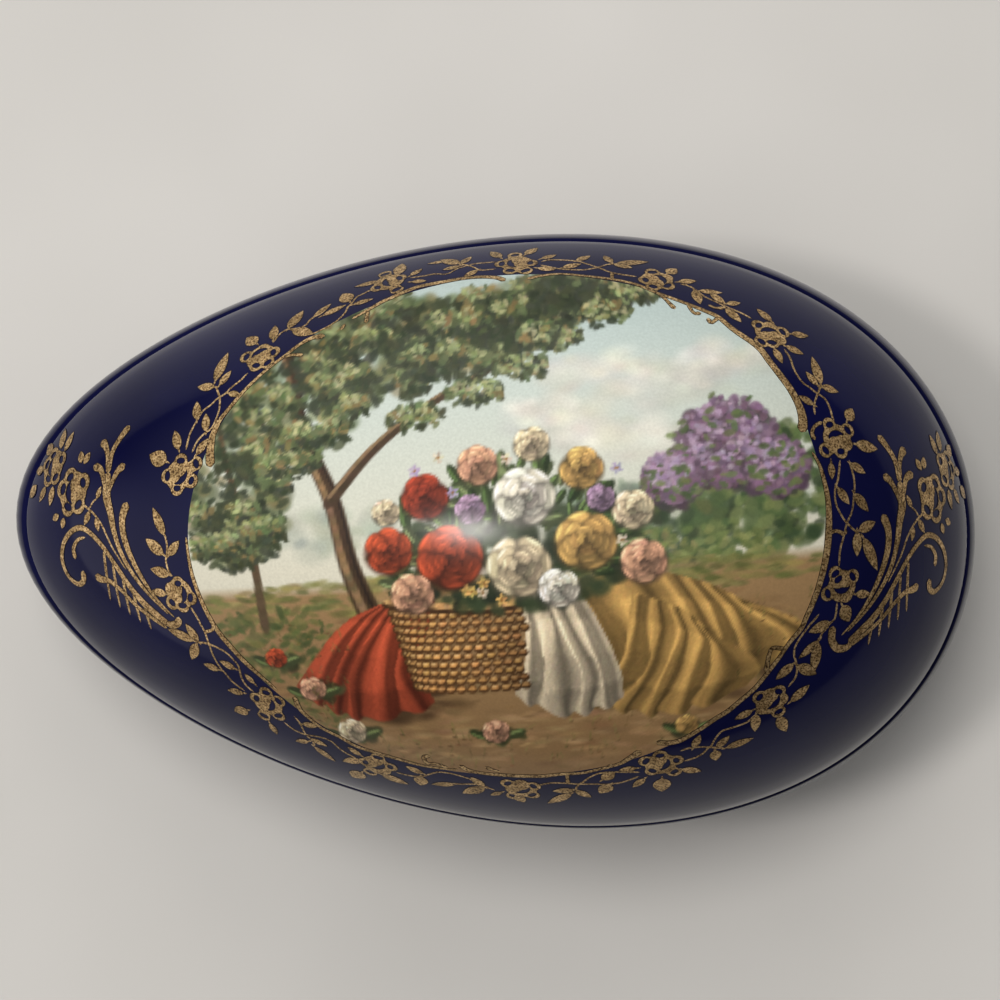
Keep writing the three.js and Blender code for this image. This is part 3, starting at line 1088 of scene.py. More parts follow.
def rose_shape(petals, heart):
    """A rose seen from above: a lobe of gold around each cut-out petal, a crescent at its heart."""
    petals = np.asarray(petals) * petal_in
    lobes = [(math.atan2(y, x), math.hypot(x, y)) for x, y in petals]
    bearings = sorted(bearing for bearing, _ in lobes)
    for here, after in zip(bearings, bearings[1:] + [bearings[0] + 2 * math.pi]):
        if after - here > widest_gap:
            lobes.append(((here + after) / 2, solid_lobe_reach))
    angles = np.linspace(0, 2 * math.pi, 72, endpoint=False)
    reach = np.full(len(angles), body_radius)
    for bearing, out in lobes:
        apart = (angles - bearing + math.pi) % (2 * math.pi) - math.pi
        inside = lobe_radius**2 - (out * np.sin(apart)) ** 2
        lobe = out * np.cos(apart) + np.sqrt(np.clip(inside, 0, None))
        reach = np.where((inside > 0) & (np.abs(apart) < math.pi / 2), np.maximum(reach, lobe), reach)
    outer = np.column_stack([reach * np.cos(angles), reach * np.sin(angles)])
    holes = []
    for x, y in petals:
        holes.append(oval(x, y, 0.66 + 0.08 * math.sin(5 * x), 0.42, math.atan2(y, x) + math.pi / 2))
    turn = math.atan2(heart[1], heart[0])
    heart_x = heart[0] - heart_radius * 0.65 * math.cos(turn)
    heart_y = heart[1] - heart_radius * 0.65 * math.sin(turn)
    holes.append(crescent(heart_x, heart_y, heart_radius, heart_thickness, turn, 1.2))
    return cut_shape(outer, holes)


def put(shape, stand, x=0.0, y=0.0, turn=0.0, scale=1.0, side=1.0):
    """Puts a cut shape on the egg, x ahead and y left of a stand, in millimetres."""
    points, faces, tones = shape
    laid = lay(stand, moved(points * scale, turn, x, y), side=side)
    add_to_film(laid, faces if side > 0 else [face[::-1] for face in faces], tones)


small_leaf = leaf_shape(2.9, 1.45)
round_leaf = leaf_shape(2.3, 1.6, 0.95)
print("a small leaf has", len(small_leaf[1]), "faces")

# %% [markdown]
# ### The garland
#
# Fourteen open roses stand around the picture, with leaves of their own. Between them run thin vines
# that cross each other and bear a few more leaves. All their places were read from the photograph:
# a vine is a row of pixels, and a leaf is a pair of them, its foot and its tip.

# %% The places of the roses, each with its heart and its cut-out petals
garland_roses = (
    ((516, 263), (511, 264), ((501, 264), (510, 271), (526, 271), (531, 263), (515, 255))),
    ((657, 280), (662, 279), ((645, 280), (652, 272), (653, 287), (668, 286))),
    ((770, 334), (768, 330), ((758, 325), (783, 332), (761, 342), (772, 343))),
    ((837, 439), (835, 434), ((829, 424), (848, 430), (825, 451), (841, 452))),
    ((842, 586), (842, 590), ((835, 573), (853, 576), (827, 594), (838, 579))),
    ((771, 701), (775, 703), ((759, 697), (779, 691), (779, 712))),
    ((661, 764), (666, 765), ((645, 761), (660, 755), (677, 760), (675, 772), (652, 771))),
    ((521, 789), (524, 791), ((507, 783), (534, 786), (533, 795), (513, 796))),
    ((377, 765), (380, 767), ((365, 762), (378, 757), (391, 767), (370, 772))),
    ((268, 704), (272, 706), ((266, 692), (256, 698), (279, 701), (279, 716), (264, 716))),
    ((180, 594), (184, 595), ((178, 583), (191, 598), (172, 603), (183, 606))),
    ((179, 475), (182, 479), ((181, 460), (167, 476), (177, 489), (197, 463), (192, 481))),
    ((261, 357), (259, 352), ((246, 357), (274, 352), (256, 366), (268, 363))),
    ((389, 282), (386, 283), ((377, 288), (397, 290), (400, 278), (385, 274))),
)

# %% The places of the vines
vines = (
    ((541, 262), (550, 260), (575, 261), (587, 264), (599, 268), (613, 273), (637, 277)),
    ((540, 265), (560, 269), (581, 270), (596, 268), (606, 265), (613, 264)),
    (
        (680, 284), (689, 286), (697, 291), (705, 297), (714, 301), (722, 305), (734, 310),
        (743, 314), (752, 319),
    ),
    (
        (784, 349), (790, 358), (793, 367), (797, 375), (803, 383), (809, 387), (815, 392),
        (825, 399), (830, 409), (832, 416), (834, 422),
    ),
    ((821, 385), (818, 393), (815, 401), (814, 408), (815, 415)),
    (
        (840, 460), (838, 479), (835, 489), (836, 504), (843, 518), (847, 523), (854, 530),
        (864, 538),
    ),
    (
        (849, 460), (854, 479), (854, 493), (852, 511), (847, 523), (843, 539), (840, 550),
        (839, 566),
    ),
    (
        (837, 602), (836, 613), (834, 620), (830, 623), (827, 628), (822, 633), (820, 639),
        (818, 642),
    ),
    (
        (819, 614), (815, 619), (808, 627), (800, 638), (795, 647), (794, 655), (796, 662),
        (797, 670), (795, 678), (788, 687),
    ),
    (
        (756, 714), (747, 722), (734, 727), (722, 731), (715, 739), (711, 746), (708, 748),
        (702, 754), (694, 758), (684, 761),
    ),
    ((680, 751), (689, 748), (699, 747), (708, 747), (725, 748)),
    (
        (640, 772), (628, 772), (614, 772), (600, 773), (590, 777), (583, 782), (578, 785),
        (575, 791),
    ),
    (
        (639, 776), (626, 781), (611, 784), (593, 784), (578, 784), (564, 783), (551, 783),
        (538, 785),
    ),
    (
        (495, 790), (486, 787), (477, 783), (470, 779), (461, 776), (449, 773), (438, 772),
        (430, 774), (423, 776), (413, 776), (403, 774), (396, 772),
    ),
    ((483, 785), (472, 784), (461, 784), (452, 783)),
    (
        (284, 722), (293, 729), (301, 733), (308, 735), (320, 737), (331, 741), (339, 748),
        (348, 754), (358, 759),
    ),
    ((294, 716), (300, 723), (305, 733), (312, 740), (315, 746)),
    (
        (190, 606), (197, 617), (201, 625), (204, 630), (207, 638), (210, 647), (214, 657),
        (220, 667), (226, 674), (233, 682), (245, 691),
    ),
    (
        (198, 642), (209, 644), (224, 651), (233, 659), (239, 667), (241, 676), (246, 685),
        (254, 692),
    ),
    ((172, 576), (168, 569), (166, 561), (167, 552), (167, 544), (165, 536)),
    (
        (186, 450), (190, 434), (197, 421), (203, 411), (211, 405), (217, 399), (225, 394),
        (232, 387), (240, 381), (248, 373),
    ),
    (
        (192, 453), (197, 442), (204, 434), (211, 429), (215, 422), (219, 411), (220, 401),
        (219, 395), (216, 386),
    ),
    (
        (273, 343), (279, 335), (286, 330), (292, 329), (299, 328), (306, 325), (310, 320),
        (315, 316),
    ),
    (
        (292, 331), (310, 334), (319, 331), (329, 326), (338, 320), (345, 313), (348, 307),
        (352, 303), (357, 297), (363, 294), (373, 289),
    ),
    (
        (410, 278), (424, 276), (435, 274), (447, 274), (457, 269), (466, 266), (474, 264),
        (483, 263), (496, 262),
    ),
    ((460, 264), (466, 265), (473, 267), (479, 270), (486, 270), (496, 269)),
)

# %% The places of the leaves, from foot to tip
slender_leaves = (
    (615, 264, 648, 262), (698, 291, 722, 293), (821, 385, 812, 357), (863, 537, 877, 570),
    (819, 640, 799, 658), (818, 641, 813, 673), (725, 748, 753, 738), (572, 793, 548, 803),
    (456, 784, 432, 784), (314, 746, 335, 761), (195, 641, 168, 629), (165, 536, 153, 508),
    (215, 382, 228, 353), (313, 318, 331, 304), (322, 316, 346, 305), (352, 305, 373, 299),
    (380, 281, 355, 287), (447, 261, 428, 264),
)
pointed_leaves = (
    (501, 258, 491, 252), (525, 255, 537, 248), (541, 259, 556, 255), (537, 268, 555, 270),
    (576, 261, 590, 256), (562, 268, 581, 264), (612, 263, 604, 256), (613, 264, 632, 268),
    (678, 282, 696, 281), (694, 290, 700, 304), (710, 293, 725, 304), (725, 308, 741, 322),
    (726, 304, 740, 303), (772, 322, 757, 309), (791, 334, 808, 336), (785, 346, 803, 354),
    (774, 348, 782, 363), (818, 386, 806, 372), (821, 386, 838, 392), (814, 405, 799, 396),
    (831, 462, 832, 479), (850, 463, 865, 473), (855, 444, 877, 449), (837, 487, 849, 504),
    (854, 493, 868, 511), (858, 531, 875, 522), (857, 531, 857, 556), (855, 594, 870, 594),
    (831, 622, 809, 632), (797, 665, 816, 674), (794, 663, 776, 679), (790, 702, 809, 685),
    (778, 716, 786, 731), (756, 714, 755, 731), (753, 710, 735, 719), (716, 748, 729, 736),
    (693, 748, 700, 735), (681, 769, 701, 771), (645, 778, 633, 787), (637, 768, 619, 770),
    (575, 790, 591, 797), (575, 790, 553, 791), (502, 792, 491, 795), (485, 787, 463, 793),
    (485, 787, 471, 777), (424, 774, 406, 766), (381, 774, 408, 784), (362, 760, 343, 761),
    (362, 756, 348, 747), (302, 724, 318, 726), (309, 741, 296, 741), (310, 738, 327, 746),
    (255, 684, 245, 674), (244, 693, 228, 690), (270, 723, 277, 734), (220, 670, 204, 664),
    (236, 669, 220, 661), (199, 642, 186, 624), (197, 643, 192, 659), (170, 575, 151, 569),
    (167, 594, 152, 591), (164, 555, 146, 539), (168, 556, 179, 541), (179, 450, 175, 431),
    (196, 455, 208, 439), (206, 432, 206, 414), (215, 387, 198, 387), (219, 386, 231, 371),
    (228, 393, 240, 395), (197, 420, 197, 402), (273, 340, 275, 326), (288, 329, 303, 311),
    (292, 330, 313, 334), (398, 275, 402, 264), (410, 276, 422, 269), (411, 282, 426, 281),
    (461, 264, 471, 257), (460, 266, 443, 270), (478, 270, 464, 277), (460, 264, 441, 260),
)
round_leaves = (
    (847, 421, 852, 409), (842, 605, 849, 621), (715, 750, 716, 760), (662, 778, 662, 791),
    (602, 780, 614, 772), (611, 784, 600, 793), (516, 795, 524, 802), (421, 776, 421, 785),
    (362, 772, 353, 777), (248, 710, 235, 711), (167, 462, 150, 455), (257, 344, 247, 338),
    (350, 302, 343, 294), (667, 274, 676, 269),
)


# %% Laying roses, vines and leaves on the egg
stalk_length = 0.6 * mm


def flat_places(stand, pixels):
    """Pixels as flat places around a stand, in millimetres ahead and to the left."""
    place, ahead, left, _ = stand
    away = seen_at(pixels) - place
    return np.column_stack([away @ ahead, away @ left]) / mm


def garland_leaf(foot_x, foot_y, tip_x, tip_y, ratio):
    """A leaf from one pixel to another. ratio is its width for a length of 1."""
    foot, tip = seen_at([(foot_x, foot_y), (tip_x, tip_y)])
    length = np.linalg.norm(tip - foot) / mm + film_edge
    put(leaf_shape(length, length * ratio + film_edge), stand_at(foot, tip - foot))
    stalk = (foot - tip) / np.linalg.norm(foot - tip) * stalk_length
    stroke(settle(np.array([foot + stalk, foot, foot - stalk])), (0.3, 0.36, 0.3), dark_edge=False)


for centre, heart, petals in garland_roses:
    stand = stand_at(seen_at([centre])[0], np.array([1.0, 0.0, 0.0]))
    put(rose_shape(flat_places(stand, petals), flat_places(stand, [heart])[0]), stand)
for pixels in vines:
    stroke(seen_at(pixels), (0.36, 0.32, 0.36), dark_edge=False)
for leaves, ratio in ((slender_leaves, 0.32), (pointed_leaves, 0.44), (round_leaves, 0.68)):
    for leaf in leaves:
        garland_leaf(*leaf, ratio)
print("the garland has", len(film_faces), "faces")

# %% [markdown]
# ### The frame of the picture
#
# A line of gold follows the edge of the picture in seven strokes, the same ones that gave the edge
# its shape. They swell and taper, and some end in a bud. Short curls branch off here and there.

# %% The line around the picture
frame_widths = (
    (0.9, 0.6, 0.65, 0.7, 0.75, 0.75, 0.9, 1.1, 1.2, 1.25, 1.3, 1.7),
    (0.5, 0.9, 1.25, 1.1, 0.9, 0.75, 0.8, 0.9, 0.85, 1.1),
    (1.3, 0.7, 0.7, 0.75, 0.85, 0.9, 0.8, 1.0), (1.0, 0.7, 0.85, 0.8, 0.7, 0.4),
    (0.4, 0.7, 0.85, 1.0, 0.95, 0.4), (1.7, 1.3, 0.85, 0.75, 0.7, 0.7, 0.8, 1.1),
    (0.6, 0.9, 1.0, 1.0, 0.9, 1.0),
)
for pixels, widths in zip(frame_strokes, frame_widths):
    stroke(seen_at(pixels), widths, 0.4)
frame_curls = (
    ((656, 292), (664, 298), (669, 303), (675, 309)), ((688, 305), (694, 313), (701, 313)),
    ((718, 318), (711, 323), (708, 318)), ((612, 279), (612, 273)),
    ((708, 305), (716, 308), (724, 308)), ((829, 533), (837, 531), (845, 535)),
    ((845, 535), (846, 529)), ((785, 649), (773, 648), (769, 655), (766, 672)),
    ((567, 774), (568, 783)), ((500, 772), (485, 767)),
    ((448, 768), (437, 764), (427, 763), (424, 757), (430, 756)),
    ((205, 632), (213, 629), (213, 621)), ((284, 357), (293, 355), (303, 355)),
    ((368, 311), (366, 323)), ((345, 324), (341, 330)),
    ((822, 422), (815, 426), (812, 433), (815, 440)), ((606, 769), (612, 764)),
)
for pixels in frame_curls:
    stroke(seen_at(pixels), (0.7, 0.6, 0.9), 0.3)
print("the picture's frame is drawn")

# %% [markdown]
# ### The ornaments at the two ends
#
# Each end of the lid has the same ornament, once mirrored: a torch with four prongs on a long curved
# stem, a plume beside it, a scroll with a comb of fine bars under it, and a small bouquet. It is
# drawn once in millimetres, x towards the egg's end and y towards the far side. Only the hooks where
# the two scrolls end differ, so each has a row of pixels of its own.

# %% The drawing of the end ornament
end_strokes = (
    ((0.7, 15.6), (1.8, 13.6), (2.5, 11.5), (2.4, 8.4)), (1.5, 1.1, 1.0, 1.3),
    ((5.6, 13.1), (4.2, 12.2), (3.2, 10.8), (2.6, 9.0)), (1.8, 1.1, 0.9, 1.0),
    ((5.8, 9.3), (4.0, 8.8), (2.8, 7.0), (2.0, 5.2)), (1.6, 1.1, 0.9, 0.7),
    ((-0.8, 9.9), (0.4, 8.8), (1.2, 6.8), (1.6, 5.0)), (1.6, 1.1, 0.9, 0.7),
    (
        (2.4, 8.6), (1.9, 5.3), (0.7, 2.6), (-0.3, -0.4), (-1.6, -3.4), (-3.5, -6.3), (-6.0, -9.2),
        (-9.2, -12.2),
    ), (1.4, 1.7, 1.3, 1.0, 0.9, 0.8, 0.6, 0.3),
    (
        (-2.5, 4.3), (-1.8, 1.8), (-2.3, -1.1), (-3.8, -4.4), (-5.8, -7.7), (-7.9, -10.4),
        (-10.2, -12.6),
    ), (1.7, 1.3, 1.2, 1.0, 0.8, 0.6, 0.3),
    (
        (7.0, -6.7), (7.4, -8.3), (8.9, -8.9), (10.9, -7.8), (11.8, -5.5), (11.1, -2.9),
        (9.2, -0.9), (6.8, -0.1), (4.4, -1.0), (1.9, -2.9), (-0.4, -5.5), (-2.6, -8.4),
        (-4.9, -10.9), (-7.3, -12.8), (-8.8, -13.9),
    ), (1.4, 1.0, 0.9, 1.0, 1.0, 1.0, 1.0, 0.9, 0.9, 0.9, 1.0, 1.1, 1.3, 1.4, 1.2),
    ((5.9, -1.5), (7.6, -2.0), (8.7, -3.4), (8.5, -5.0)), (0.4, 0.7, 0.9, 1.1),
    (
        (4.4, -7.2), (3.2, -7.7), (1.4, -7.9), (-0.8, -9.2), (-3.2, -11.3), (-5.8, -13.0),
        (-8.2, -14.4),
    ), (1.6, 1.0, 0.8, 0.8, 0.8, 0.8, 0.7),
    ((6.6, 3.4), (4.2, 2.2), (2.2, 0.4), (0.2, -2.6), (-2.3, -5.8)), (0.4, 0.35, 0.35, 0.3, 0.25),
    ((5.2, 2.9), (4.6, 3.9), (3.7, 4.6)), (0.35, 0.3, 0.3),
)
comb_bars = 5
end_leaves = (
    (3.9, 4.4, 1.9, small_leaf, 0.75), (5.0, 2.6, -1.1, small_leaf, 0.9),
    (3.7, 1.7, -1.9, small_leaf, 0.8), (8.2, 9.4, 1.95, round_leaf, 0.9),
    (8.8, 9.5, 1.1, round_leaf, 0.9), (14.0, 11.0, 1.7, small_leaf, 1.1),
    (15.2, 11.3, 1.1, small_leaf, 1.2), (17.6, 10.4, 0.5, round_leaf, 1.2),
    (14.6, 5.8, -1.5, small_leaf, 1.1), (16.6, 5.6, -1.1, small_leaf, 1.0),
    (19.6, 5.6, -0.9, round_leaf, 1.2), (12.2, 1.5, -0.5, round_leaf, 0.8),
    (10.9, 1.2, -1.3, round_leaf, 0.8), (18.6, 8.0, -0.2, round_leaf, 1.0),
)
scroll_ends = (
    ((852, 643), (845, 648), (837, 648), (832, 641), (832, 632), (833, 626)),
    ((166, 623), (172, 625), (178, 623), (179, 617)),
)
bouquet_rose = rose_shape(((1.0, 1.7), (2.0, 0.2), (0.6, -1.9), (-1.3, -1.5), (-1.6, 1.2)), (0.7, -0.2))
end_roses = ((9.4, 5.2, 1.3), (15.8, 8.6, 1.05))


# %% The two end ornaments
def end_ornament(anchor_pixel, towards_end, turn):
    """Lays the drawing around an anchor. towards_end is -1 at the pointed end, 1 at the blunt end."""
    anchor = seen_at([anchor_pixel])[0]
    stand = stand_at(anchor, np.array([towards_end, 0.0, 0.0]))
    side = towards_end
    cosine = math.cos(turn)
    sine = math.sin(turn)

    def turned(points):
        points = np.asarray(points, float)
        x = points[:, 0] * cosine - points[:, 1] * sine
        y = points[:, 0] * sine + points[:, 1] * cosine
        return np.column_stack([x, y])

    for points, widths in zip(end_strokes[::2], end_strokes[1::2]):
        stroke(lay(stand, turned(points), side=side), widths, 0.35, max(widths) > 0.5)
    for bar in range(comb_bars):
        top = (2.0 - 1.7 * bar, -3.2 - 1.9 * bar)
        bottom = (2.1 - 1.75 * bar, -10.9 - 1.0 * bar)
        stroke(lay(stand, turned([top, bottom]), side=side), [0.5, 0.55, 0.3], 0.5, False)
    for x, y, angle, shape, scale in end_leaves:
        place = turned([(x, y)])[0]
        put(shape, stand, place[0], place[1], angle + turn, scale, side)
    for x, y, scale in end_roses:
        place = turned([(x, y)])[0]
        put(bouquet_rose, stand, place[0], place[1], 0.0, scale, side)


end_ornament((113, 530), -1.0, 0.0)
end_ornament((898, 541), 1.0, math.radians(9))
for pixels in scroll_ends:
    stroke(seen_at(pixels), (1.1, 1.4, 1.3, 1.4), 0.3)
print("the film has", len(film_faces), "faces")

# %% The film as one piece with a real thickness
film_mesh = bpy.data.meshes.new("gold_garland")
film_mesh.from_pydata([tuple(place) for place in film_places], [], film_faces)
gilding = bpy.data.objects.new("gold_garland", film_mesh)
bpy.context.collection.objects.link(gilding)
tone = film_mesh.attributes.new(name="tone", type="FLOAT", domain="POINT")
tone.data.foreach_set("value", film_tones)

bpy.ops.object.select_all(action="DESELECT")
bpy.context.view_layer.objects.active = gilding
gilding.select_set(True)
solidify = gilding.modifiers.new("thickness", "SOLIDIFY")
solidify.thickness = film_thickness
solidify.offset = -1
bpy.ops.object.modifier_apply(modifier=solidify.name)
print("the gilding has", len(gilding.data.polygons), "faces")

# %% [markdown]
# ## Finishes
#
# The glazes are glass: deep colour under a smooth, glossy surface. Cobalt glaze is never quite even,
# so its colour and its surface wander a little. The gold is not polished: it is granular, darker at
# its edges and worn in places. Each finish is a small node tree on the Principled shader, with its
# patterns in Object coordinates, so that they keep their real size. The strip of the base just under
# the seam looks dark in the photograph, so it gets a cobalt that mirrors less.


# %% A helper for materials
glaze_mirror = 0.25


def new_material(name, roughness, metallic=0.0, ior=1.5):
    """A material with its Principled shader, and the node tree to add patterns to."""
    material = bpy.data.materials.new(name)
    material.use_nodes = True
    shader = material.node_tree.nodes["Principled BSDF"]
    shader.inputs["Roughness"].default_value = roughness
    shader.inputs["Metallic"].default_value = metallic
    shader.inputs["IOR"].default_value = ior
    return material, shader, material.node_tree


def noise(tree, size, detail=2.0):
    """Noise whose lumps are about a size in metres."""
    place = tree.nodes.new("ShaderNodeTexCoord")
    texture = tree.nodes.new("ShaderNodeTexNoise")
    texture.inputs["Scale"].default_value = 1 / size
    texture.inputs["Detail"].default_value = detail
    tree.links.new(place.outputs["Object"], texture.inputs["Vector"])
    return texture.outputs["Fac"]


def ramp(tree, source, stops):
    """A colour ramp over a value, from (position, colour) stops."""
    node = tree.nodes.new("ShaderNodeValToRGB")
    elements = node.color_ramp.elements
    while len(elements) < len(stops):
        elements.new(1.0)
    for element, (position, colour) in zip(elements, stops):
        element.position = position
        element.color = (*colour, 1.0)
    tree.links.new(source, node.inputs["Fac"])
    return node.outputs["Color"]


def mixed(tree, blend, factor, first, second):
    """Mixes two colours. Each may be a socket or a colour, and so may the factor be a socket."""
    node = tree.nodes.new("ShaderNodeMix")
    node.data_type = "RGBA"
    node.blend_type = blend
    for value, index in ((factor, 0), (first, 6), (second, 7)):
        if isinstance(value, bpy.types.NodeSocket):
            tree.links.new(value, node.inputs[index])
        elif index == 0:
            node.inputs[index].default_value = value
        else:
            node.inputs[index].default_value = (*value, 1.0)
    return node.outputs[2]


def relief(tree, shader, source, height, strength=1.0):
    """A fine relief of a height in metres."""
    bump = tree.nodes.new("ShaderNodeBump")
    bump.inputs["Distance"].default_value = height
    bump.inputs["Strength"].default_value = strength
    tree.links.new(source, bump.inputs["Height"])
    tree.links.new(bump.outputs["Normal"], shader.inputs["Normal"])


# %% The cobalt glaze
def cobalt_glaze(name, mirror):
    """Deep blue glaze. mirror is how strongly it reflects."""
    material, shader, tree = new_material(name, 0.09)
    cloudy = noise(tree, 22 * mm)
    depth = ramp(tree, cloudy, ((0.3, (0.0035, 0.0042, 0.030)), (0.7, (0.0055, 0.0065, 0.042))))
    tree.links.new(depth, shader.inputs["Base Color"])
    shader.inputs["Specular IOR Level"].default_value = mirror
    relief(tree, shader, noise(tree, 9 * mm, 1.0), 0.03 * mm)
    return material


cobalt = cobalt_glaze("cobalt_glaze", glaze_mirror)
shaded_cobalt = cobalt_glaze("shaded_cobalt_glaze", glaze_mirror * 0.12)

# %% The painted picture under its glaze
painting, shader, tree = new_material("painted_picture", 0.2)
paint_node = tree.nodes.new("ShaderNodeVertexColor")
paint_node.layer_name = "paint"
grain = ramp(tree, noise(tree, 0.4 * mm, 3.0), ((0.3, (0.90, 0.90, 0.90)), (0.7, (1.0, 1.0, 1.0))))
tree.links.new(mixed(tree, "MULTIPLY", 1.0, paint_node.outputs["Color"], grain), shader.inputs["Base Color"])
shader.inputs["Specular IOR Level"].default_value = glaze_mirror
relief(tree, shader, noise(tree, 9 * mm, 1.0), 0.03 * mm)

# %% The white glaze inside and the bare porcelain of seats and foot
white_glaze, shader, tree = new_material("white_glaze", 0.1)
milky = ramp(tree, noise(tree, 14 * mm), ((0.3, (0.74, 0.73, 0.69)), (0.7, (0.80, 0.79, 0.76))))
tree.links.new(milky, shader.inputs["Base Color"])
relief(tree, shader, noise(tree, 7 * mm, 1.0), 0.04 * mm)

biscuit, shader, tree = new_material("bare_porcelain", 0.7)
chalky = ramp(tree, noise(tree, 1.2 * mm, 4.0), ((0.3, (0.62, 0.59, 0.53)), (0.7, (0.72, 0.70, 0.65))))
tree.links.new(chalky, shader.inputs["Base Color"])
relief(tree, shader, noise(tree, 0.3 * mm, 3.0), 0.02 * mm)

# %% The gold
gold, shader, tree = new_material("granular_gold", 0.38, 0.7)
tone_node = tree.nodes.new("ShaderNodeAttribute")
tone_node.attribute_name = "tone"
# The tone runs from the dark edge to the full gold. The lighter band at 0.8, just inside the edge, is a
# painted highlight along the rims of the gold.
tone_colour = ramp(tree, tone_node.outputs["Fac"], (
    (0.0, (0.018, 0.010, 0.008)), (0.5, (0.14, 0.085, 0.04)),
    (0.8, (0.76, 0.60, 0.36)), (1.0, (0.66, 0.49, 0.27)),
))
grains = ramp(tree, noise(tree, 0.3 * mm, 4.0), (
    (0.36, (0.16, 0.12, 0.10)), (0.47, (0.62, 0.56, 0.48)), (0.6, (1.0, 1.0, 1.0)),
))
patches = ramp(tree, noise(tree, 2 * mm, 3.0), ((0.38, (0.62, 0.60, 0.55)), (0.62, (1.0, 1.0, 1.0))))
speckled = mixed(tree, "MULTIPLY", 1.0, tone_colour, grains)
tree.links.new(mixed(tree, "MULTIPLY", 1.0, speckled, patches), shader.inputs["Base Color"])
relief(tree, shader, noise(tree, 0.28 * mm, 3.0), 0.04 * mm)
gilding.data.materials.append(gold)

# %% Which finish goes where
lid.data.materials.append(cobalt)
lid.data.materials.append(painting)
lid.data.materials.append(white_glaze)
lid.data.materials.append(biscuit)
lid_finish = np.zeros(len(lid.data.polygons), int)
lid_finish[painted] = 1
from_axis = np.hypot(centres[:, 1], centres[:, 2] - axis_height)
in_from_outside = radius_at(centres[:, 0]) - from_axis
above_seat = centres[:, 2] > axis_height + lid_seat + 0.01 * mm
seat_faces = (face_normals[:, 2] < -0.9) & ~above_seat
hollow_faces = underneath & above_seat & (in_from_outside > lid_wall * 0.8)
lid_finish[hollow_faces] = 2
lid_finish[seat_faces] = 3
lid.data.polygons.foreach_set("material_index", lid_finish)

base.data.materials.append(cobalt)
base.data.materials.append(white_glaze)
base.data.materials.append(biscuit)
base.data.materials.append(shaded_cobalt)
base_centres = vectors_of(base.data.polygons, "center")
base_normals = vectors_of(base.data.polygons, "normal")
base_depth = radius_at(base_centres[:, 0]) - np.hypot(base_centres[:, 1], base_centres[:, 2] - axis_height)
base_finish = np.zeros(len(base_centres), int)
base_finish[base_centres[:, 2] > axis_height] = 3
base_finish[(base_depth > 1.5 * mm) & (base_centres[:, 2] > foot_recess + 1 * mm)] = 1
at_seam = np.abs(base_centres[:, 2] - axis_height - seam) < 0.01 * mm
base_finish[at_seam & (base_normals[:, 2] > 0.9)] = 2
base_finish[(base_centres[:, 2] < foot_round * 0.3) & (base_normals[:, 2] < -0.5)] = 2
base.data.polygons.foreach_set("material_index", base_finish)
print("lid faces by finish", np.bincount(lid_finish), "base faces by finish", np.bincount(base_finish))

# %% [markdown]
# ## Flat maps of the surface
#
# The lid and the gold film are each laid out flat in a map named OFBake. The lid's dome is seen
# straight from above in such a map, so that the painting keeps an even sharpness. Its underside
# lies below the dome in the map, a little smaller.


# %% The map of the lid and of the gold film
def plan_map(piece, is_below):
    """A map of a piece seen from above, with the faces that lie below put in a smaller copy."""
    layer = piece.data.uv_layers.new(name="OFBake")
    places = vectors_of(piece.data.vertices, "co")
    corners = np.empty(len(piece.data.loops), int)
    piece.data.loops.foreach_get("vertex_index", corners)
    totals = np.empty(len(piece.data.polygons), int)
    piece.data.polygons.foreach_get("loop_total", totals)
    below = np.repeat(is_below, totals)
    low = places.min(axis=0)
    span = places[:, 0].max() - low[0]
    margin = 0.01
    flat = (places[corners][:, :2] - low[:2]) / span
    upper = margin + flat * (1 - 2 * margin)
    depth_used = (places[:, 1].max() - low[1]) / span
    shrink = (1 - depth_used - 0.06) / depth_used
    lower = np.column_stack([margin + flat[:, 0] * shrink, 1 - margin - flat[:, 1] * shrink])
    layer.data.foreach_set("uv", np.where(below[:, None], lower, upper).ravel())
    print(piece.name, "map: dome %.2f of the height, underside scaled by %.2f" % (depth_used, shrink))


plan_map(lid, underneath)
film_centres = vectors_of(gilding.data.polygons, "center")
film_normals = vectors_of(gilding.data.polygons, "normal")
faces_in = (film_normals * egg_normals(film_centres)).sum(axis=1) < -0.5
plan_map(gilding, faces_in)

# %% [markdown]
# ## The pieces in the frame
#
# The two porcelain pieces stand for the two solids of the model and ride on its one body. The gold
# film rides along with them.

# %% Riding on the frame
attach(base, "root")
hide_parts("base")
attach(lid, "root")
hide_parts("lid")
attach(gilding, "root")

# %% [markdown]
# ## Floor and light
#
# The box stands on a plain pale floor in soft light. A glossy egg mirrors everything around it, so
# the light has to be soft too. The world is made of three wide, smooth glows: one overhead, one from
# the left and one from the far side. Two small lamps give the warm highlights on the picture. A soft
# lamp from above gives the box its shadow, and it is kept out of all reflections.

# %% Floor
bpy.ops.object.select_all(action="DESELECT")
bpy.ops.mesh.primitive_plane_add(size=6)
floor = bpy.context.object
floor.name = "floor"
floor_finish, shader, tree = new_material("pale_floor", 0.6)
pale = ramp(tree, noise(tree, 60 * mm), ((0.3, (0.46, 0.452, 0.433)), (0.7, (0.49, 0.482, 0.463))))
tree.links.new(pale, shader.inputs["Base Color"])
floor.data.materials.append(floor_finish)

# %% World of soft glows
world = bpy.data.worlds.new("soft_studio")
bpy.context.scene.world = world
world.use_nodes = True
tree = world.node_tree
background = tree.nodes["Background"]
looking = tree.nodes.new("ShaderNodeTexCoord")


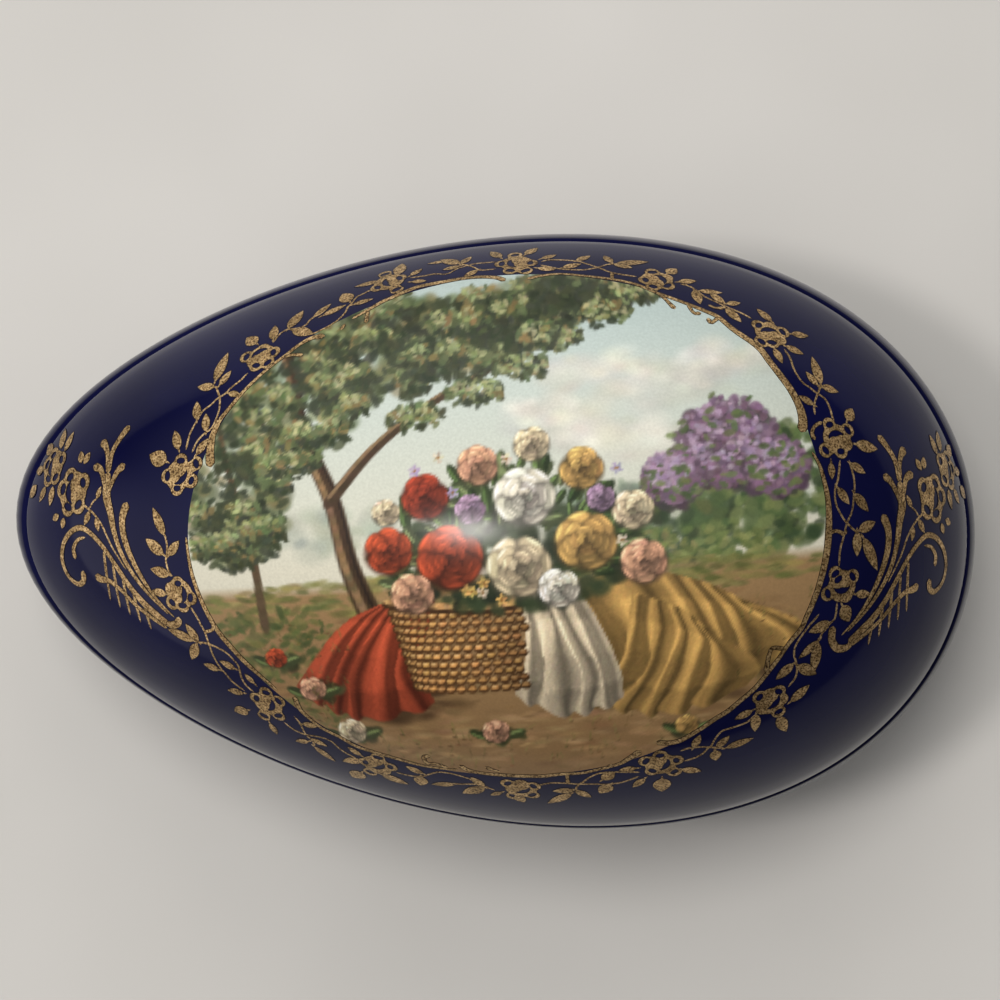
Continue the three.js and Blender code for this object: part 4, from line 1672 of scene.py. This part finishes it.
def glow(total, direction, inner, outer, colour):
    """Adds a soft round glow in a direction to the world's light. Angles are in degrees."""
    towards = tree.nodes.new("ShaderNodeVectorMath")
    towards.operation = "DOT_PRODUCT"
    towards.inputs[1].default_value = Vector(direction).normalized()
    tree.links.new(looking.outputs["Generated"], towards.inputs[0])
    fade = tree.nodes.new("ShaderNodeMapRange")
    fade.interpolation_type = "SMOOTHSTEP"
    fade.inputs["From Min"].default_value = math.cos(math.radians(outer))
    fade.inputs["From Max"].default_value = math.cos(math.radians(inner))
    tree.links.new(towards.outputs["Value"], fade.inputs["Value"])
    return mixed(tree, "ADD", fade.outputs["Result"], total, colour)


light = glow((0.04, 0.04, 0.045), (-0.28, 0.5, 1.0), 22, 66, (1.05, 1.04, 1.02))
light = glow(light, (-1.0, -0.35, 0.05), 5, 45, (1.1, 1.06, 1.04))
light = glow(light, (-0.1, 1.0, 0.1), 5, 45, (0.9, 0.9, 0.92))
tree.links.new(light, background.inputs["Color"])
background.inputs["Strength"].default_value = 1.0

# %% Two small warm lamps
lamp_distance = 1.4


def lamp_for_highlight(name, pixel, size, power, colour):
    """A round lamp whose reflection the camera sees at a pixel of the picture."""
    place = seen_at([pixel])[0]
    out = egg_normals(place[None])[0]
    to_camera = np.array(camera.location) - place
    to_camera = to_camera / np.linalg.norm(to_camera)
    towards = 2 * (out @ to_camera) * out - to_camera
    data = bpy.data.lights.new(name, "AREA")
    data.shape = "DISK"
    data.size = size
    data.energy = power
    data.color = colour
    lamp = bpy.data.objects.new(name, data)
    bpy.context.collection.objects.link(lamp)
    lamp.location = Vector(place + towards * lamp_distance)
    lamp.rotation_euler = Vector(towards).to_track_quat("Z", "Y").to_euler()
    print(name, "at", [round(value, 2) for value in lamp.location])


lamp_for_highlight("right_lamp", (605, 447), 0.30, 0.35, (1.0, 0.82, 0.62))
lamp_for_highlight("left_lamp", (470, 530), 0.19, 4.4, (1.0, 0.95, 0.92))

# %% A soft lamp from above, and how the light is shown
soft_data = bpy.data.lights.new("soft_lamp", "AREA")
soft_data.shape = "DISK"
soft_data.size = 0.3
soft_data.energy = 4.5
soft_data.color = (1.0, 0.98, 0.95)
soft_lamp = bpy.data.objects.new("soft_lamp", soft_data)
bpy.context.collection.objects.link(soft_lamp)
soft_lamp.location = (-0.02, 0.25, 1.15)
soft_lamp.rotation_euler = soft_lamp.location.to_track_quat("Z", "Y").to_euler()
soft_lamp.visible_glossy = False
print("soft lamp at", tuple(round(value, 2) for value in soft_lamp.location))

bpy.context.scene.view_settings.view_transform = "Standard"
bpy.context.scene.view_settings.gamma = 0.85
bpy.context.scene.view_settings.exposure = 0.28
